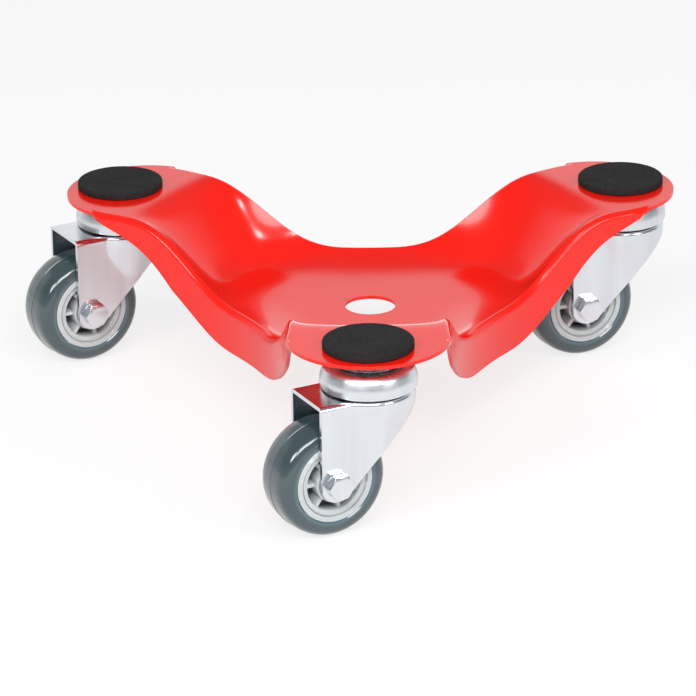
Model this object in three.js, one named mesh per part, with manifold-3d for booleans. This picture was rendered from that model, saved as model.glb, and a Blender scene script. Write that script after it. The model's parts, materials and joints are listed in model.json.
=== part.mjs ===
// Three-arm swivel dolly ("tri-dolly"): a pressed steel deck with a foam pad and a swivel caster on each arm.
// Millimetres, +Z up. The arms lie at 120 degrees. The finished group is moved so that its bounding box
// stands on z = 0 with its centre over the origin.
import * as THREE from "three";
import { mergeVertices } from "three/addons/utils/BufferGeometryUtils.js";
import Module from "manifold-3d";

const wasm = await Module();
wasm.setup();

const DEG = Math.PI / 180;
const SEAT_GAP = 0.3; // left between faces that touch in the real assembly
const OVERCUT = 5; // how far a cutting tool runs past the face it cuts

// Straight facets in a full turn of small, middling and large round pieces
const FEW = 12;
const SOME = 16;
const MANY = 24;

// ---- driving dimensions ---------------------------------------------------------------------------------

// Deck: one pressed sheet
const SHEET = 2; // sheet thickness
const ARM_LENGTH = 170; // deck centre to swivel axis
const TIP_RADIUS = 45.3; // round end of an arm
const TIP_MARGIN = 3.5; // the arm end reaches this far past the pad
const WAIST_RADIUS = 80; // deck centre to the outer face of the flange, midway between two arms
const CENTRE_HOLE_RADIUS = 14.6;
const DECK_DROP = 42.8; // arm ends down to the sunk middle
const RIM_LIFT = 6.1; // the rim midway between two arms stands this far above the sunk middle
const RIM_WIDTH = 32; // width of the band that curves up to the rim
const FLAT_LENGTH = 32; // swivel axis to the head of the ramp, where the flat arm end starts
const RAMP_LENGTH = 50; // head of the ramp to its foot in the sunk middle
const RIM_FLAT_LENGTH = 36; // the same two lengths on the rim
const RIM_RAMP_LENGTH = 76;
const FLANGE_BEND = 3.5; // outer radius of the bend between deck and flange
const FLANGE_DEPTH = 25.8; // rim to the flange's lower edge
const FLANGE_RUNOUT = 10.4; // the flange ends this far past the place where waist and arm end touch
const FLANGE_TAPER = 54; // length over which it gets shallower before it ends
const UNBEND_LENGTH = 7; // length over which the rim straightens into the flat arm end
const WAIST_STEPS = 7; // facets round half a waist, and round an arm end
const TIP_STEPS = 8;

// Pads
const PAD_RADIUS = 25;
const PAD_THICK = 4;

// Caster: wheel
const WHEEL_RADIUS = 32.5;
const TYRE_THICK = 10;
const WHEEL_WIDTH = 29;
const TREAD_WIDTH = 17; // flat part of the tread
const SHOULDER = 3.4; // how far the side wall's top lies below the tread
const RIM_WALL = 6.6; // hub rim, measured radially at its face
const HUB_BOSS_WALL = 1.2; // round the bearing
const HUB_WEB = 3; // disc between boss and rim
const SPOKES = 7;
const SPOKE_THICK = 3;
const SPOKE_INSET = 3.2; // spoke edges below the hub's face
const SPOKE_ROOT = 1.2; // how much of a spoke's length runs into boss and rim
const BEARING_RADIUS = 9.5;
const BEARING_WIDTH = 6;
const AXLE_RADIUS = 4;
const SLEEVE_RADIUS = 6.2; // spacer tube between the two bearings
const RUN_GAP = 0.3; // radial clearance of holes round bolts, and of pieces that turn

// Caster: fork and swivel
const TRAIL = 28.5; // swivel axis to axle, measured level
const FORK_SHEET = 2.2;
const FORK_SIDE_GAP = 1; // hub face to the inside of a leg
const FORK_TOP_GAP = 11.3; // wheel to the underside of the fork's top
const FORK_REAR = 38; // swivel axis to the fork's rear edge
const FORK_SKIRT = 6; // fork top down to where the slanting front edge starts
const CROWN_MARGIN = 2; // the fork's round crown is this much wider all round than the ball track
const CROWN_DEPTH = 8; // straight part of its wall
const CROWN_TAPER = 20; // height over which the wall then draws in to the legs
const LEG_FRONT = 8; // the flat legs start this far ahead of the swivel axis
const LEG_END_RADIUS = 10;
const RACE_GAP = 1.1; // raised ball track to the inside of the race cup's lip
const RACE_WIDTH = 8;
const RACE_HEIGHT = 4.2;
const BALLS = 8;
const RETAINER_WIRE = 0.9; // radius
const CUP_RADIUS = 27.2;
const CUP_DRAW = 6.7; // the cup's flat top is this much smaller in radius than its widest part
const CUP_LIP_DRAW = 0.9; // and its lip this much
const CUP_SHEET = 1.8;
const CUP_HEIGHT = 13;
const CUP_BROW = 1; // fall from the cup's flat top to where its shoulder starts
const CUP_SHOULDER = 3; // to the lower end of its shoulder
const CUP_BELLY = 9; // and to its widest part
const CUP_LIFT = 1; // race cup's lip above the fork
const SPACER_RADIUS = 19.5;
const SPACER_HEIGHT = 5.7;
const KINGPIN_RADIUS = 5;
const KINGPIN_HEAD_RADIUS = 10;
const KINGPIN_HEAD = 2.2;
const PAD_RELIEF_RADIUS = KINGPIN_HEAD_RADIUS + 1.5;
const LOWER_RACE_RADIUS = 15;
const LOWER_RACE_THICK = 2.4;

// Hexagons: width across flats and height
const AXLE_HEX = { flats: 13, height: 5.3 };
const AXLE_NUT_HEX = { flats: 13, height: 6.5 };
const KINGPIN_NUT_HEX = { flats: 16, height: 6.4 };
const KINGPIN_SOCKET = { flats: 6, height: 1.4 };
const NUT_COLLAR = 1.5; // locking collar that stands on a nut
const CHAMFER_START = 0.94; // a head's corner chamfer starts at this share of half its width across flats
const BOLT_TAIL = 1; // bolt end past its nut

// Arms, and the way each caster trails (0 = +X, anticlockwise seen from above)
const ARMS = [
  { name: "front", bearing: 270, trails: 208.3 },
  { name: "right", bearing: 30, trails: 202.7 },
  { name: "left", bearing: 150, trails: 209.8 },
];

// ---- derived heights and sizes --------------------------------------------------------------------------

const RAMP_HEAD = ARM_LENGTH - FLAT_LENGTH;
const RAMP_FOOT = RAMP_HEAD - RAMP_LENGTH;
const RIM_RAMP_HEAD = ARM_LENGTH - RIM_FLAT_LENGTH;
const RIM_RAMP_FOOT = RIM_RAMP_HEAD - RIM_RAMP_LENGTH;
const CUP_TOP_RADIUS = CUP_RADIUS - CUP_DRAW;
const CUP_LIP_RADIUS = CUP_RADIUS - CUP_LIP_DRAW;
const RACE_RADIUS = CUP_LIP_RADIUS - CUP_SHEET - RACE_GAP;
const CROWN_RADIUS = RACE_RADIUS + CROWN_MARGIN;
const HUB_BOSS_RADIUS = BEARING_RADIUS + RUN_GAP + HUB_BOSS_WALL;

const AXLE_Z = WHEEL_RADIUS;
const FORK_UNDER_Z = 2 * WHEEL_RADIUS + FORK_TOP_GAP;
const FORK_TOP_Z = FORK_UNDER_Z + FORK_SHEET;
const CUP_LIP_Z = FORK_TOP_Z + CUP_LIFT;
const CUP_TOP_Z = CUP_LIP_Z + CUP_HEIGHT;
const SPACER_TOP_Z = CUP_TOP_Z + SEAT_GAP + SPACER_HEIGHT;
const ARM_UNDER_Z = SPACER_TOP_Z + SEAT_GAP;
const ARM_TOP_Z = ARM_UNDER_Z + SHEET;
const FLOOR_TOP_Z = ARM_TOP_Z - DECK_DROP;
const RIM_LOW_Z = FLOOR_TOP_Z + RIM_LIFT;
const BALL_RADIUS = (CUP_TOP_Z - CUP_SHEET - FORK_TOP_Z - RACE_HEIGHT) / 2 - SEAT_GAP;
const BALL_Z = FORK_TOP_Z + RACE_HEIGHT + SEAT_GAP + BALL_RADIUS;
const BALL_CIRCLE = RACE_RADIUS - RACE_WIDTH / 2;
const LOWER_RACE_Z = FORK_UNDER_Z - SEAT_GAP - LOWER_RACE_THICK;
const KINGPIN_NUT_Z = LOWER_RACE_Z - SEAT_GAP - KINGPIN_NUT_HEX.height;
const HUB_RADIUS = WHEEL_RADIUS - TYRE_THICK;
const HUB_INNER_RADIUS = HUB_RADIUS - RIM_WALL;
const HALF_WIDTH = WHEEL_WIDTH / 2;
const LEG_INNER = HALF_WIDTH + FORK_SIDE_GAP;
const LEG_OUTER = LEG_INNER + FORK_SHEET;

// Centre and radius of the circle that a waist's flange face lies on: it touches both neighbouring arm ends.
const TIP_CENTRE = ARM_LENGTH + PAD_RADIUS + TIP_MARGIN - TIP_RADIUS;
const tipToWaist = TIP_RADIUS - WAIST_RADIUS;
const WAIST_CENTRE = (TIP_CENTRE ** 2 - tipToWaist ** 2) / (TIP_CENTRE + 2 * tipToWaist);
const WAIST_ARC = WAIST_CENTRE - WAIST_RADIUS;

// ---- solids ---------------------------------------------------------------------------------------------

// A closed three.js geometry as a manifold-3d solid, faces out.
function solid(geometry) {
  const bare = geometry.clone();
  bare.deleteAttribute("normal");
  bare.deleteAttribute("uv");
  const merged = mergeVertices(bare, 1e-4);
  const triVerts = new Uint32Array(merged.index.array);
  const vertProperties = new Float32Array(merged.attributes.position.array);
  const make = () => new wasm.Manifold(new wasm.Mesh({ numProp: 3, vertProperties, triVerts }));
  const made = make();
  if (made.volume() > 0) return made;
  for (let i = 0; i < triVerts.length; i += 3) {
    [triVerts[i + 1], triVerts[i + 2]] = [triVerts[i + 2], triVerts[i + 1]];
  }
  return make();
}

function geometryOf(made) {
  const { vertProperties, triVerts } = made.getMesh();
  const geometry = new THREE.BufferGeometry();
  geometry.setAttribute("position", new THREE.BufferAttribute(vertProperties, 3));
  geometry.setIndex(new THREE.BufferAttribute(triVerts, 1));
  geometry.computeVertexNormals();
  return geometry;
}

const moved = (made, x, y, z) => made.translate([x, y, z]);
const joined = (first, ...others) => others.reduce((sum, next) => sum.add(next), first);
const cut = (first, ...others) => others.reduce((rest, tool) => rest.subtract(tool), first);

// A solid turned about Z from [radius, height] points.
function turned(points, segments) {
  const profile = points.map(([r, z]) => new THREE.Vector2(r, z));
  return solid(new THREE.LatheGeometry(profile, segments).rotateX(Math.PI / 2));
}

const disc = (radius, low, high, segments = SOME) =>
  turned([[0, low], [radius, low], [radius, high], [0, high]], segments);

const ring = (inner, outer, low, high, segments = SOME) =>
  turned([[inner, low], [outer, low], [outer, high], [inner, high], [inner, low]], segments);

// A flat outline, given as a three.js Shape, made into a prism from low to high along Z.
function prism(shape, low, high) {
  const options = { depth: high - low, bevelEnabled: false, curveSegments: 8 };
  return moved(solid(new THREE.ExtrudeGeometry(shape, options)), 0, 0, low);
}

function polygon(points) {
  return new THREE.Shape(points.map(([x, y]) => new THREE.Vector2(x, y)));
}

function hexagon({ flats }) {
  const corner = flats / Math.sqrt(3);
  const angles = Array.from({ length: 6 }, (_, i) => i * 60 * DEG);
  return polygon(angles.map((angle) => [corner * Math.cos(angle), corner * Math.sin(angle)]));
}

// A hexagon head or nut that stands on z = 0, its top corners turned off.
function hexHead(size) {
  const flat = size.flats / 2;
  const corner = size.flats / Math.sqrt(3);
  const wide = corner + 1;
  const chamfer = (wide - flat * CHAMFER_START) * Math.tan(30 * DEG);
  const envelope = turned(
    [
      [0, 0],
      [wide, 0],
      [wide, size.height - chamfer],
      [flat * CHAMFER_START, size.height],
      [0, size.height],
    ],
    SOME,
  );
  return prism(hexagon(size), 0, size.height).intersect(envelope);
}

// Turns a solid's Z axis to +Y, the axle's direction.
const alongAxle = (made) => made.rotate([-90, 0, 0]);

// ---- deck -----------------------------------------------------------------------------------------------

const clamp01 = (t) => Math.min(1, Math.max(0, t));
const smooth = (x, from, to) => {
  const t = clamp01((x - from) / (to - from));
  return t * t * (3 - 2 * t);
};

// Distance along the nearest arm from the deck's centre.
function alongArm(x, y) {
  return Math.max(...ARMS.map(({ bearing }) => x * Math.cos(bearing * DEG) + y * Math.sin(bearing * DEG)));
}

// Height of the pressed sheet's top face.
function deckHeight(x, y) {
  const along = alongArm(x, y);
  const middle = FLOOR_TOP_Z + DECK_DROP * smooth(along, RAMP_FOOT, RAMP_HEAD);
  const rim = RIM_LOW_Z + (ARM_TOP_Z - RIM_LOW_Z) * smooth(along, RIM_RAMP_FOOT, RIM_RAMP_HEAD);
  const share = 1 - clamp01(insetFromRim(x, y) / RIM_WIDTH);
  return middle + (rim - middle) * share * share;
}

// Places round a third of the deck's outline, from the middle of one waist to the middle of the next. Each
// has a point on the outer face, the outward direction, and how far along the outline it lies past the
// touching place of waist and arm end.
function outlineThird(bearing) {
  const touch = Math.atan2(WAIST_CENTRE * Math.sin(60 * DEG), WAIST_CENTRE * Math.cos(60 * DEG) - TIP_CENTRE);
  const halfWaist = touch - 60 * DEG;
  const places = [];
  const add = (x, y, angle, past) => {
    const middle = new THREE.Vector2();
    const point = new THREE.Vector2(x, y).rotateAround(middle, bearing * DEG);
    const out = new THREE.Vector2(Math.cos(angle), Math.sin(angle)).rotateAround(middle, bearing * DEG);
    places.push({ point, out, past });
  };
  const addWaist = (side, share) => {
    const angle = side * (240 * DEG + halfWaist * share);
    const x = WAIST_CENTRE * Math.cos(60 * DEG) + WAIST_ARC * Math.cos(angle);
    const y = side * WAIST_CENTRE * Math.sin(60 * DEG) + WAIST_ARC * Math.sin(angle);
    add(x, y, angle + Math.PI, (share - 1) * halfWaist * WAIST_ARC);
  };
  const addTip = (share) => {
    const angle = touch * (2 * share - 1);
    const past = (touch - Math.abs(angle)) * TIP_RADIUS;
    add(TIP_CENTRE + TIP_RADIUS * Math.cos(angle), TIP_RADIUS * Math.sin(angle), angle, past);
  };
  for (let i = 0; i < WAIST_STEPS; i++) addWaist(-1, i / WAIST_STEPS);
  for (let i = 0; i <= TIP_STEPS; i++) addTip(i / TIP_STEPS);
  for (let i = WAIST_STEPS - 1; i > 0; i--) addWaist(1, i / WAIST_STEPS);
  return places;
}

function stepped(from, to, steps) {
  return Array.from({ length: steps }, (_, i) => from + ((to - from) * i) / steps);
}

// The sheet's top face along one ray: from the hole out to the rim, round the bend and down the flange.
function deckRay({ point, out, past }) {
  const rim = point.clone().addScaledVector(out, -FLANGE_BEND);
  const reach = rim.length();
  const cosine = alongArm(rim.x, rim.y) / reach;
  const foot = Math.min(0.45 * reach, RAMP_FOOT / cosine);
  const head = Math.min(0.75 * reach, RAMP_HEAD / cosine);
  const radii = [...stepped(CENTRE_HOLE_RADIUS, foot, 2), ...stepped(foot, head, 4), head, reach];
  const points = radii.map((r) => {
    const { x, y } = rim.clone().setLength(r);
    return new THREE.Vector3(x, y, deckHeight(x, y));
  });
  const rimZ = points[points.length - 1].z;
  const bent = 1 - smooth(past, FLANGE_RUNOUT - UNBEND_LENGTH, FLANGE_RUNOUT);
  const wall = (FLANGE_DEPTH - FLANGE_BEND) * clamp01((FLANGE_RUNOUT - past) / FLANGE_TAPER);
  const addEdge = (angle, flatShare, drop) => {
    const away = THREE.MathUtils.lerp(FLANGE_BEND * flatShare, FLANGE_BEND * Math.sin(angle), bent);
    const { x, y } = rim.clone().addScaledVector(out, away);
    points.push(new THREE.Vector3(x, y, rimZ - bent * (FLANGE_BEND * (1 - Math.cos(angle)) + drop)));
  };
  addEdge(45 * DEG, 1 / 3, 0);
  addEdge(90 * DEG, 2 / 3, 0);
  addEdge(90 * DEG, 1, Math.max(wall, SHEET));
  return points;
}

// How far a place lies inside the rim of the nearest waist.
function insetFromRim(x, y) {
  return Math.min(
    ...ARMS.map(({ bearing }) => {
      const away = (bearing + 60) * DEG;
      const distance = Math.hypot(x - WAIST_CENTRE * Math.cos(away), y - WAIST_CENTRE * Math.sin(away));
      return Math.max(0, distance - WAIST_ARC - FLANGE_BEND);
    }),
  );
}

// A sheet of even thickness hung under a closed belt of rays, as one closed geometry.
function sheetUnder(rays, thick) {
  const count = rays.length;
  const length = rays[0].length;
  const normalAt = (i, j) => {
    const before = rays[(i + count - 1) % count][j];
    const after = rays[(i + 1) % count][j];
    const inner = rays[i][Math.max(0, j - 1)];
    const outer = rays[i][Math.min(length - 1, j + 1)];
    return outer.clone().sub(inner).cross(after.clone().sub(before)).normalize();
  };
  const positions = [];
  rays.forEach((ray, i) => {
    const under = ray.map((p, j) => p.clone().addScaledVector(normalAt(i, j), -thick));
    for (const p of [...ray, ...under.reverse()]) positions.push(p.x, p.y, p.z);
  });
  const loop = 2 * length;
  const index = [];
  for (let i = 0; i < count; i++) {
    for (let j = 0; j < loop; j++) {
      const a = i * loop + j;
      const b = i * loop + ((j + 1) % loop);
      const c = ((i + 1) % count) * loop + j;
      const d = ((i + 1) % count) * loop + ((j + 1) % loop);
      index.push(a, b, d, a, d, c);
    }
  }
  const geometry = new THREE.BufferGeometry();
  geometry.setAttribute("position", new THREE.Float32BufferAttribute(positions, 3));
  geometry.setIndex(index);
  return geometry;
}

function deck() {
  const rays = ARMS.flatMap(({ bearing }) => outlineThird(bearing)).map(deckRay);
  const pressed = solid(sheetUnder(rays, SHEET));
  const boltHole = (bearing) =>
    moved(
      disc(KINGPIN_RADIUS + RUN_GAP, ARM_UNDER_Z - OVERCUT, ARM_TOP_Z + OVERCUT, FEW),
      ARM_LENGTH * Math.cos(bearing * DEG),
      ARM_LENGTH * Math.sin(bearing * DEG),
      0,
    );
  return cut(pressed, ...ARMS.map(({ bearing }) => boltHole(bearing)));
}

// ---- pieces clamped to an arm end, about the swivel axis ------------------------------------------------

const boltClear = KINGPIN_RADIUS + RUN_GAP;

// Foam disc with a shallow pocket below for the kingpin's head.
function pad() {
  const low = ARM_TOP_Z + SEAT_GAP;
  const high = low + PAD_THICK;
  const roof = ARM_TOP_Z + SEAT_GAP + KINGPIN_HEAD + SEAT_GAP;
  const profile = [
    [PAD_RELIEF_RADIUS, low],
    [PAD_RADIUS, low],
    [PAD_RADIUS, high],
    [0, high],
    [0, roof],
    [PAD_RELIEF_RADIUS, roof],
    [PAD_RELIEF_RADIUS, low],
  ];
  return turned(profile, MANY);
}

function kingpin() {
  const seat = ARM_TOP_Z + SEAT_GAP;
  const end = KINGPIN_NUT_Z - NUT_COLLAR - BOLT_TAIL;
  const bolt = turned(
    [
      [0, end],
      [KINGPIN_RADIUS - 0.8, end],
      [KINGPIN_RADIUS, end + 0.8],
      [KINGPIN_RADIUS, seat],
      [KINGPIN_HEAD_RADIUS, seat],
      [KINGPIN_HEAD_RADIUS * 0.8, seat + KINGPIN_HEAD],
      [0, seat + KINGPIN_HEAD],
    ],
    FEW,
  );
  const top = seat + KINGPIN_HEAD;
  return cut(bolt, prism(hexagon(KINGPIN_SOCKET), top - KINGPIN_SOCKET.height, top + OVERCUT));
}

const spacer = () => ring(boltClear, SPACER_RADIUS, CUP_TOP_Z + SEAT_GAP, SPACER_TOP_Z);

// Pressed cup that covers the balls: the outer face, then the inner face back to the bolt hole.
function raceCup() {
  const top = CUP_TOP_Z;
  const brow = THREE.MathUtils.lerp(CUP_TOP_RADIUS, CUP_RADIUS, 0.42);
  const shoulder = THREE.MathUtils.lerp(CUP_TOP_RADIUS, CUP_RADIUS, 0.68);
  const outer = [
    [boltClear, top],
    [CUP_TOP_RADIUS, top],
    [brow, top - CUP_BROW],
    [shoulder, top - CUP_SHOULDER],
    [CUP_RADIUS, top - CUP_BELLY],
    [CUP_LIP_RADIUS, CUP_LIP_Z],
  ];
  const inner = [
    [CUP_LIP_RADIUS - CUP_SHEET, CUP_LIP_Z],
    [CUP_RADIUS - CUP_SHEET, top - CUP_BELLY - 0.4],
    [shoulder - 1.5, top - CUP_SHOULDER - 1],
    [brow - 0.8, top - CUP_BROW - CUP_SHEET + 0.1],
    [CUP_TOP_RADIUS - 0.4, top - CUP_SHEET],
    [boltClear, top - CUP_SHEET],
  ];
  return turned([...outer, ...inner, outer[0]], MANY);
}

// The swivel's balls, held in one ring of wire.
function ballRetainer() {
  const wire = solid(new THREE.TorusGeometry(BALL_CIRCLE, RETAINER_WIRE, 4, 2 * BALLS));
  const ball = solid(new THREE.SphereGeometry(BALL_RADIUS, 6, 4));
  const balls = Array.from({ length: BALLS }, (_, i) => {
    const a = (i * 360 * DEG) / BALLS;
    return moved(ball, BALL_CIRCLE * Math.cos(a), BALL_CIRCLE * Math.sin(a), 0);
  });
  return moved(joined(wire, ...balls), 0, 0, BALL_Z);
}

function lowerRace() {
  const low = LOWER_RACE_Z;
  const high = low + LOWER_RACE_THICK;
  return turned(
    [
      [boltClear, low],
      [LOWER_RACE_RADIUS - 3, low],
      [LOWER_RACE_RADIUS, low + 1],
      [LOWER_RACE_RADIUS, high],
      [boltClear, high],
      [boltClear, low],
    ],
    SOME,
  );
}

// A hexagon nut standing on z = 0 with its round locking collar below it, bored for its bolt.
function lockNut(size, boltRadius) {
  const collar = disc(size.flats * 0.44, -NUT_COLLAR, 1);
  const body = joined(hexHead(size), collar);
  return cut(body, disc(boltRadius + RUN_GAP, -NUT_COLLAR - OVERCUT, size.height + OVERCUT, FEW));
}

const kingpinNut = () => moved(lockNut(KINGPIN_NUT_HEX, KINGPIN_RADIUS), 0, 0, KINGPIN_NUT_Z);

// ---- fork: local +X trails from the swivel axis to the wheel, +Y is the axle's bolt-head side ------------

// The filled outer shape of the fork, drawn in by inset: two flat legs that swell into a round crown.
function forkBlock(inset, low, high, rear) {
  const side = LEG_OUTER - inset;
  const swell = Math.min(FORK_TOP_Z - CROWN_DEPTH, high);
  const crown = [
    [0, low],
    [side, low],
    [side, swell - CROWN_TAPER],
    [CROWN_RADIUS - inset, swell],
    [CROWN_RADIUS - inset, high],
    [0, high],
  ];
  const legs = polygon([[-LEG_FRONT, -side], [rear, -side], [rear, side], [-LEG_FRONT, side]]);
  return joined(turned(crown, MANY), prism(legs, low, high));
}

// The fork's outline seen from the side: a straight rear edge, a round end about the axle and a front edge
// that slants up to the skirt round the crown.
function forkSide() {
  const shape = new THREE.Shape();
  const skirtZ = FORK_TOP_Z - FORK_SKIRT;
  const dx = TRAIL + CROWN_RADIUS;
  const dz = skirtZ - AXLE_Z;
  const slant = Math.atan2(dz, -dx) + Math.acos(LEG_END_RADIUS / Math.hypot(dx, dz));
  const rear = -Math.acos((FORK_REAR - TRAIL) / LEG_END_RADIUS);
  shape.moveTo(-CROWN_RADIUS - OVERCUT, FORK_TOP_Z + OVERCUT);
  shape.lineTo(-CROWN_RADIUS - OVERCUT, skirtZ);
  shape.lineTo(-CROWN_RADIUS, skirtZ);
  shape.absarc(TRAIL, AXLE_Z, LEG_END_RADIUS, slant, rear + 360 * DEG, false);
  shape.lineTo(FORK_REAR, FORK_TOP_Z + OVERCUT);
  return shape;
}

function fork() {
  const low = AXLE_Z - LEG_END_RADIUS - OVERCUT;
  const shell = forkBlock(0, low, FORK_TOP_Z, FORK_REAR);
  const inside = forkBlock(FORK_SHEET, low - OVERCUT, FORK_UNDER_Z, FORK_REAR + OVERCUT);
  const side = prism(forkSide(), -CROWN_RADIUS - OVERCUT, CROWN_RADIUS + OVERCUT).rotate([90, 0, 0]);
  const trackLow = FORK_TOP_Z - FORK_SHEET / 2;
  const track = ring(RACE_RADIUS - RACE_WIDTH, RACE_RADIUS, trackLow, FORK_TOP_Z + RACE_HEIGHT);
  const pinHole = disc(LOWER_RACE_RADIUS - 6, FORK_UNDER_Z - OVERCUT, FORK_TOP_Z + OVERCUT);
  const drill = alongAxle(disc(AXLE_RADIUS + RUN_GAP, -CROWN_RADIUS * 2, CROWN_RADIUS * 2, FEW));
  const axleHole = moved(drill, TRAIL, 0, AXLE_Z);
  return cut(joined(cut(shell, inside).intersect(side), track), pinHole, axleHole);
}

// ---- axle pieces, made about the axle with +Y towards the bolt head --------------------------------------

function axleBolt() {
  const seat = LEG_OUTER + SEAT_GAP;
  const end = -(seat + AXLE_NUT_HEX.height + NUT_COLLAR + BOLT_TAIL);
  const r = AXLE_RADIUS;
  const shank = turned([[0, end], [r - 0.7, end], [r, end + 0.7], [r, seat + 1], [0, seat + 1]], FEW);
  return alongAxle(joined(moved(hexHead(AXLE_HEX), 0, 0, seat), shank));
}

// The nut stands on the far leg, so it is turned over.
function axleNut() {
  const nut = lockNut(AXLE_NUT_HEX, AXLE_RADIUS);
  return alongAxle(moved(nut, 0, 0, -(LEG_OUTER + SEAT_GAP + AXLE_NUT_HEX.height)));
}

const bearingInner = HALF_WIDTH - SEAT_GAP - BEARING_WIDTH;

function axleSleeve() {
  const end = bearingInner - SEAT_GAP;
  return alongAxle(ring(AXLE_RADIUS + RUN_GAP, SLEEVE_RADIUS, -end, end, FEW));
}

// ---- wheel pieces ---------------------------------------------------------------------------------------

// Sealed bearing on the +Y side.
const bearing = () =>
  alongAxle(ring(AXLE_RADIUS + RUN_GAP, BEARING_RADIUS, bearingInner, bearingInner + BEARING_WIDTH));

function hub() {
  const face = HALF_WIDTH;
  const seat = BEARING_RADIUS + RUN_GAP;
  const seatEnd = bearingInner - SEAT_GAP;
  const bore = SLEEVE_RADIUS + RUN_GAP;
  const rimLip = HUB_INNER_RADIUS + 2;
  const half = [
    [seat, seatEnd],
    [seat, face],
    [HUB_BOSS_RADIUS, face],
    [HUB_BOSS_RADIUS, HUB_WEB / 2],
    [HUB_INNER_RADIUS, HUB_WEB / 2],
    [HUB_INNER_RADIUS, face - 0.8],
    [rimLip, face],
    [HUB_RADIUS, face],
  ];
  const mirror = half.map(([r, y]) => [r, -y]).reverse();
  const body = turned([[bore, -seatEnd], [bore, seatEnd], ...half, ...mirror, [bore, -seatEnd]], MANY);
  const spokeLength = HUB_INNER_RADIUS - HUB_BOSS_RADIUS + SPOKE_ROOT;
  const bar = solid(new THREE.BoxGeometry(spokeLength, SPOKE_THICK, 2 * (face - SPOKE_INSET)));
  const spoke = moved(bar, (HUB_INNER_RADIUS + HUB_BOSS_RADIUS) / 2, 0, 0);
  const spokes = Array.from({ length: SPOKES }, (_, i) => spoke.rotate([0, 0, (i * 360) / SPOKES]));
  return alongAxle(joined(body, ...spokes));
}

function tyre() {
  const inner = HUB_RADIUS + SEAT_GAP;
  const side = HALF_WIDTH;
  const half = [
    [WHEEL_RADIUS, 0],
    [WHEEL_RADIUS, TREAD_WIDTH / 2],
    [WHEEL_RADIUS - SHOULDER * 0.3, TREAD_WIDTH / 2 + (side - TREAD_WIDTH / 2) * 0.5],
    [WHEEL_RADIUS - SHOULDER, side - 0.9],
    [WHEEL_RADIUS - SHOULDER - 2.5, side],
    [inner, side],
  ];
  const mirror = half.slice(1).map(([r, y]) => [r, -y]).reverse();
  return alongAxle(turned([...mirror, ...half, mirror[0]], MANY));
}

// ---- assembly -------------------------------------------------------------------------------------------

function paint(color, roughness, metalness) {
  return new THREE.MeshStandardMaterial({ color, roughness, metalness });
}

const MATERIALS = {
  deckPaint: paint(0xd8150c, 0.2, 0.1),
  foam: paint(0x2b2a2a, 0.95, 0),
  zinc: paint(0xc9ced2, 0.32, 0.9),
  darkSteel: paint(0x3a3d42, 0.45, 0.8),
  hubPlastic: paint(0xc4c6c2, 0.5, 0),
  tyreUrethane: paint(0x4a525a, 0.25, 0),
};

function piece(name, made, material) {
  const mesh = new THREE.Mesh(geometryOf(made), MATERIALS[material]);
  mesh.name = name;
  return mesh;
}

const shared = {
  pad: pad(),
  kingpin: kingpin(),
  spacer: spacer(),
  raceCup: raceCup(),
  ballRetainer: ballRetainer(),
  lowerRace: lowerRace(),
  kingpinNut: kingpinNut(),
  fork: fork(),
  axleBolt: axleBolt(),
  axleNut: axleNut(),
  axleSleeve: axleSleeve(),
  bearing: bearing(),
  hub: hub(),
  tyre: tyre(),
};

function caster(arm) {
  const fixed = [
    piece(`pad_${arm}`, shared.pad, "foam"),
    piece(`kingpin_${arm}`, shared.kingpin, "zinc"),
    piece(`spacer_${arm}`, shared.spacer, "darkSteel"),
    piece(`race_cup_${arm}`, shared.raceCup, "zinc"),
    piece(`ball_retainer_${arm}`, shared.ballRetainer, "zinc"),
    piece(`lower_race_${arm}`, shared.lowerRace, "zinc"),
    piece(`kingpin_nut_${arm}`, shared.kingpinNut, "zinc"),
  ];
  const onAxle = [
    piece(`axle_bolt_${arm}`, shared.axleBolt, "zinc"),
    piece(`axle_nut_${arm}`, shared.axleNut, "zinc"),
    piece(`axle_sleeve_${arm}`, shared.axleSleeve, "zinc"),
    piece(`bearing_near_${arm}`, shared.bearing, "zinc"),
    piece(`bearing_far_${arm}`, shared.bearing.rotate([180, 0, 0]), "zinc"),
    piece(`wheel_hub_${arm}`, shared.hub, "hubPlastic"),
    piece(`tyre_${arm}`, shared.tyre, "tyreUrethane"),
  ];
  for (const mesh of onAxle) mesh.position.set(TRAIL, 0, AXLE_Z);
  const swivel = new THREE.Group();
  swivel.add(piece(`fork_${arm}`, shared.fork, "zinc"), ...onAxle);
  const group = new THREE.Group();
  group.add(...fixed, swivel);
  return { group, swivel };
}

const dolly = new THREE.Group();
dolly.add(piece("deck", deck(), "deckPaint"));
for (const { name, bearing: way, trails } of ARMS) {
  const { group, swivel } = caster(name);
  group.position.set(ARM_LENGTH * Math.cos(way * DEG), ARM_LENGTH * Math.sin(way * DEG), 0);
  swivel.rotation.z = trails * DEG;
  dolly.add(group);
}

dolly.updateMatrixWorld(true);
const box = new THREE.Box3().setFromObject(dolly, true);
const centre = box.getCenter(new THREE.Vector3());
dolly.position.set(-centre.x, -centre.y, -box.min.z);

export default dolly;
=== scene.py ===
"""A three-wheel dolly: a red pressed-steel deck on three zinc-plated swivel casters, each under a foam pad.

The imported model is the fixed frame. Every piece takes its place from the frame's boxes and joints, and its
sizes from the property groups below. Lengths are in metres, +Z is up, and the front arm points along -Y.
"""

import json
import math

import bmesh
import bpy
from bpy.props import FloatProperty, FloatVectorProperty, IntProperty, PointerProperty
from mathutils import Matrix, Vector, noise


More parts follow.
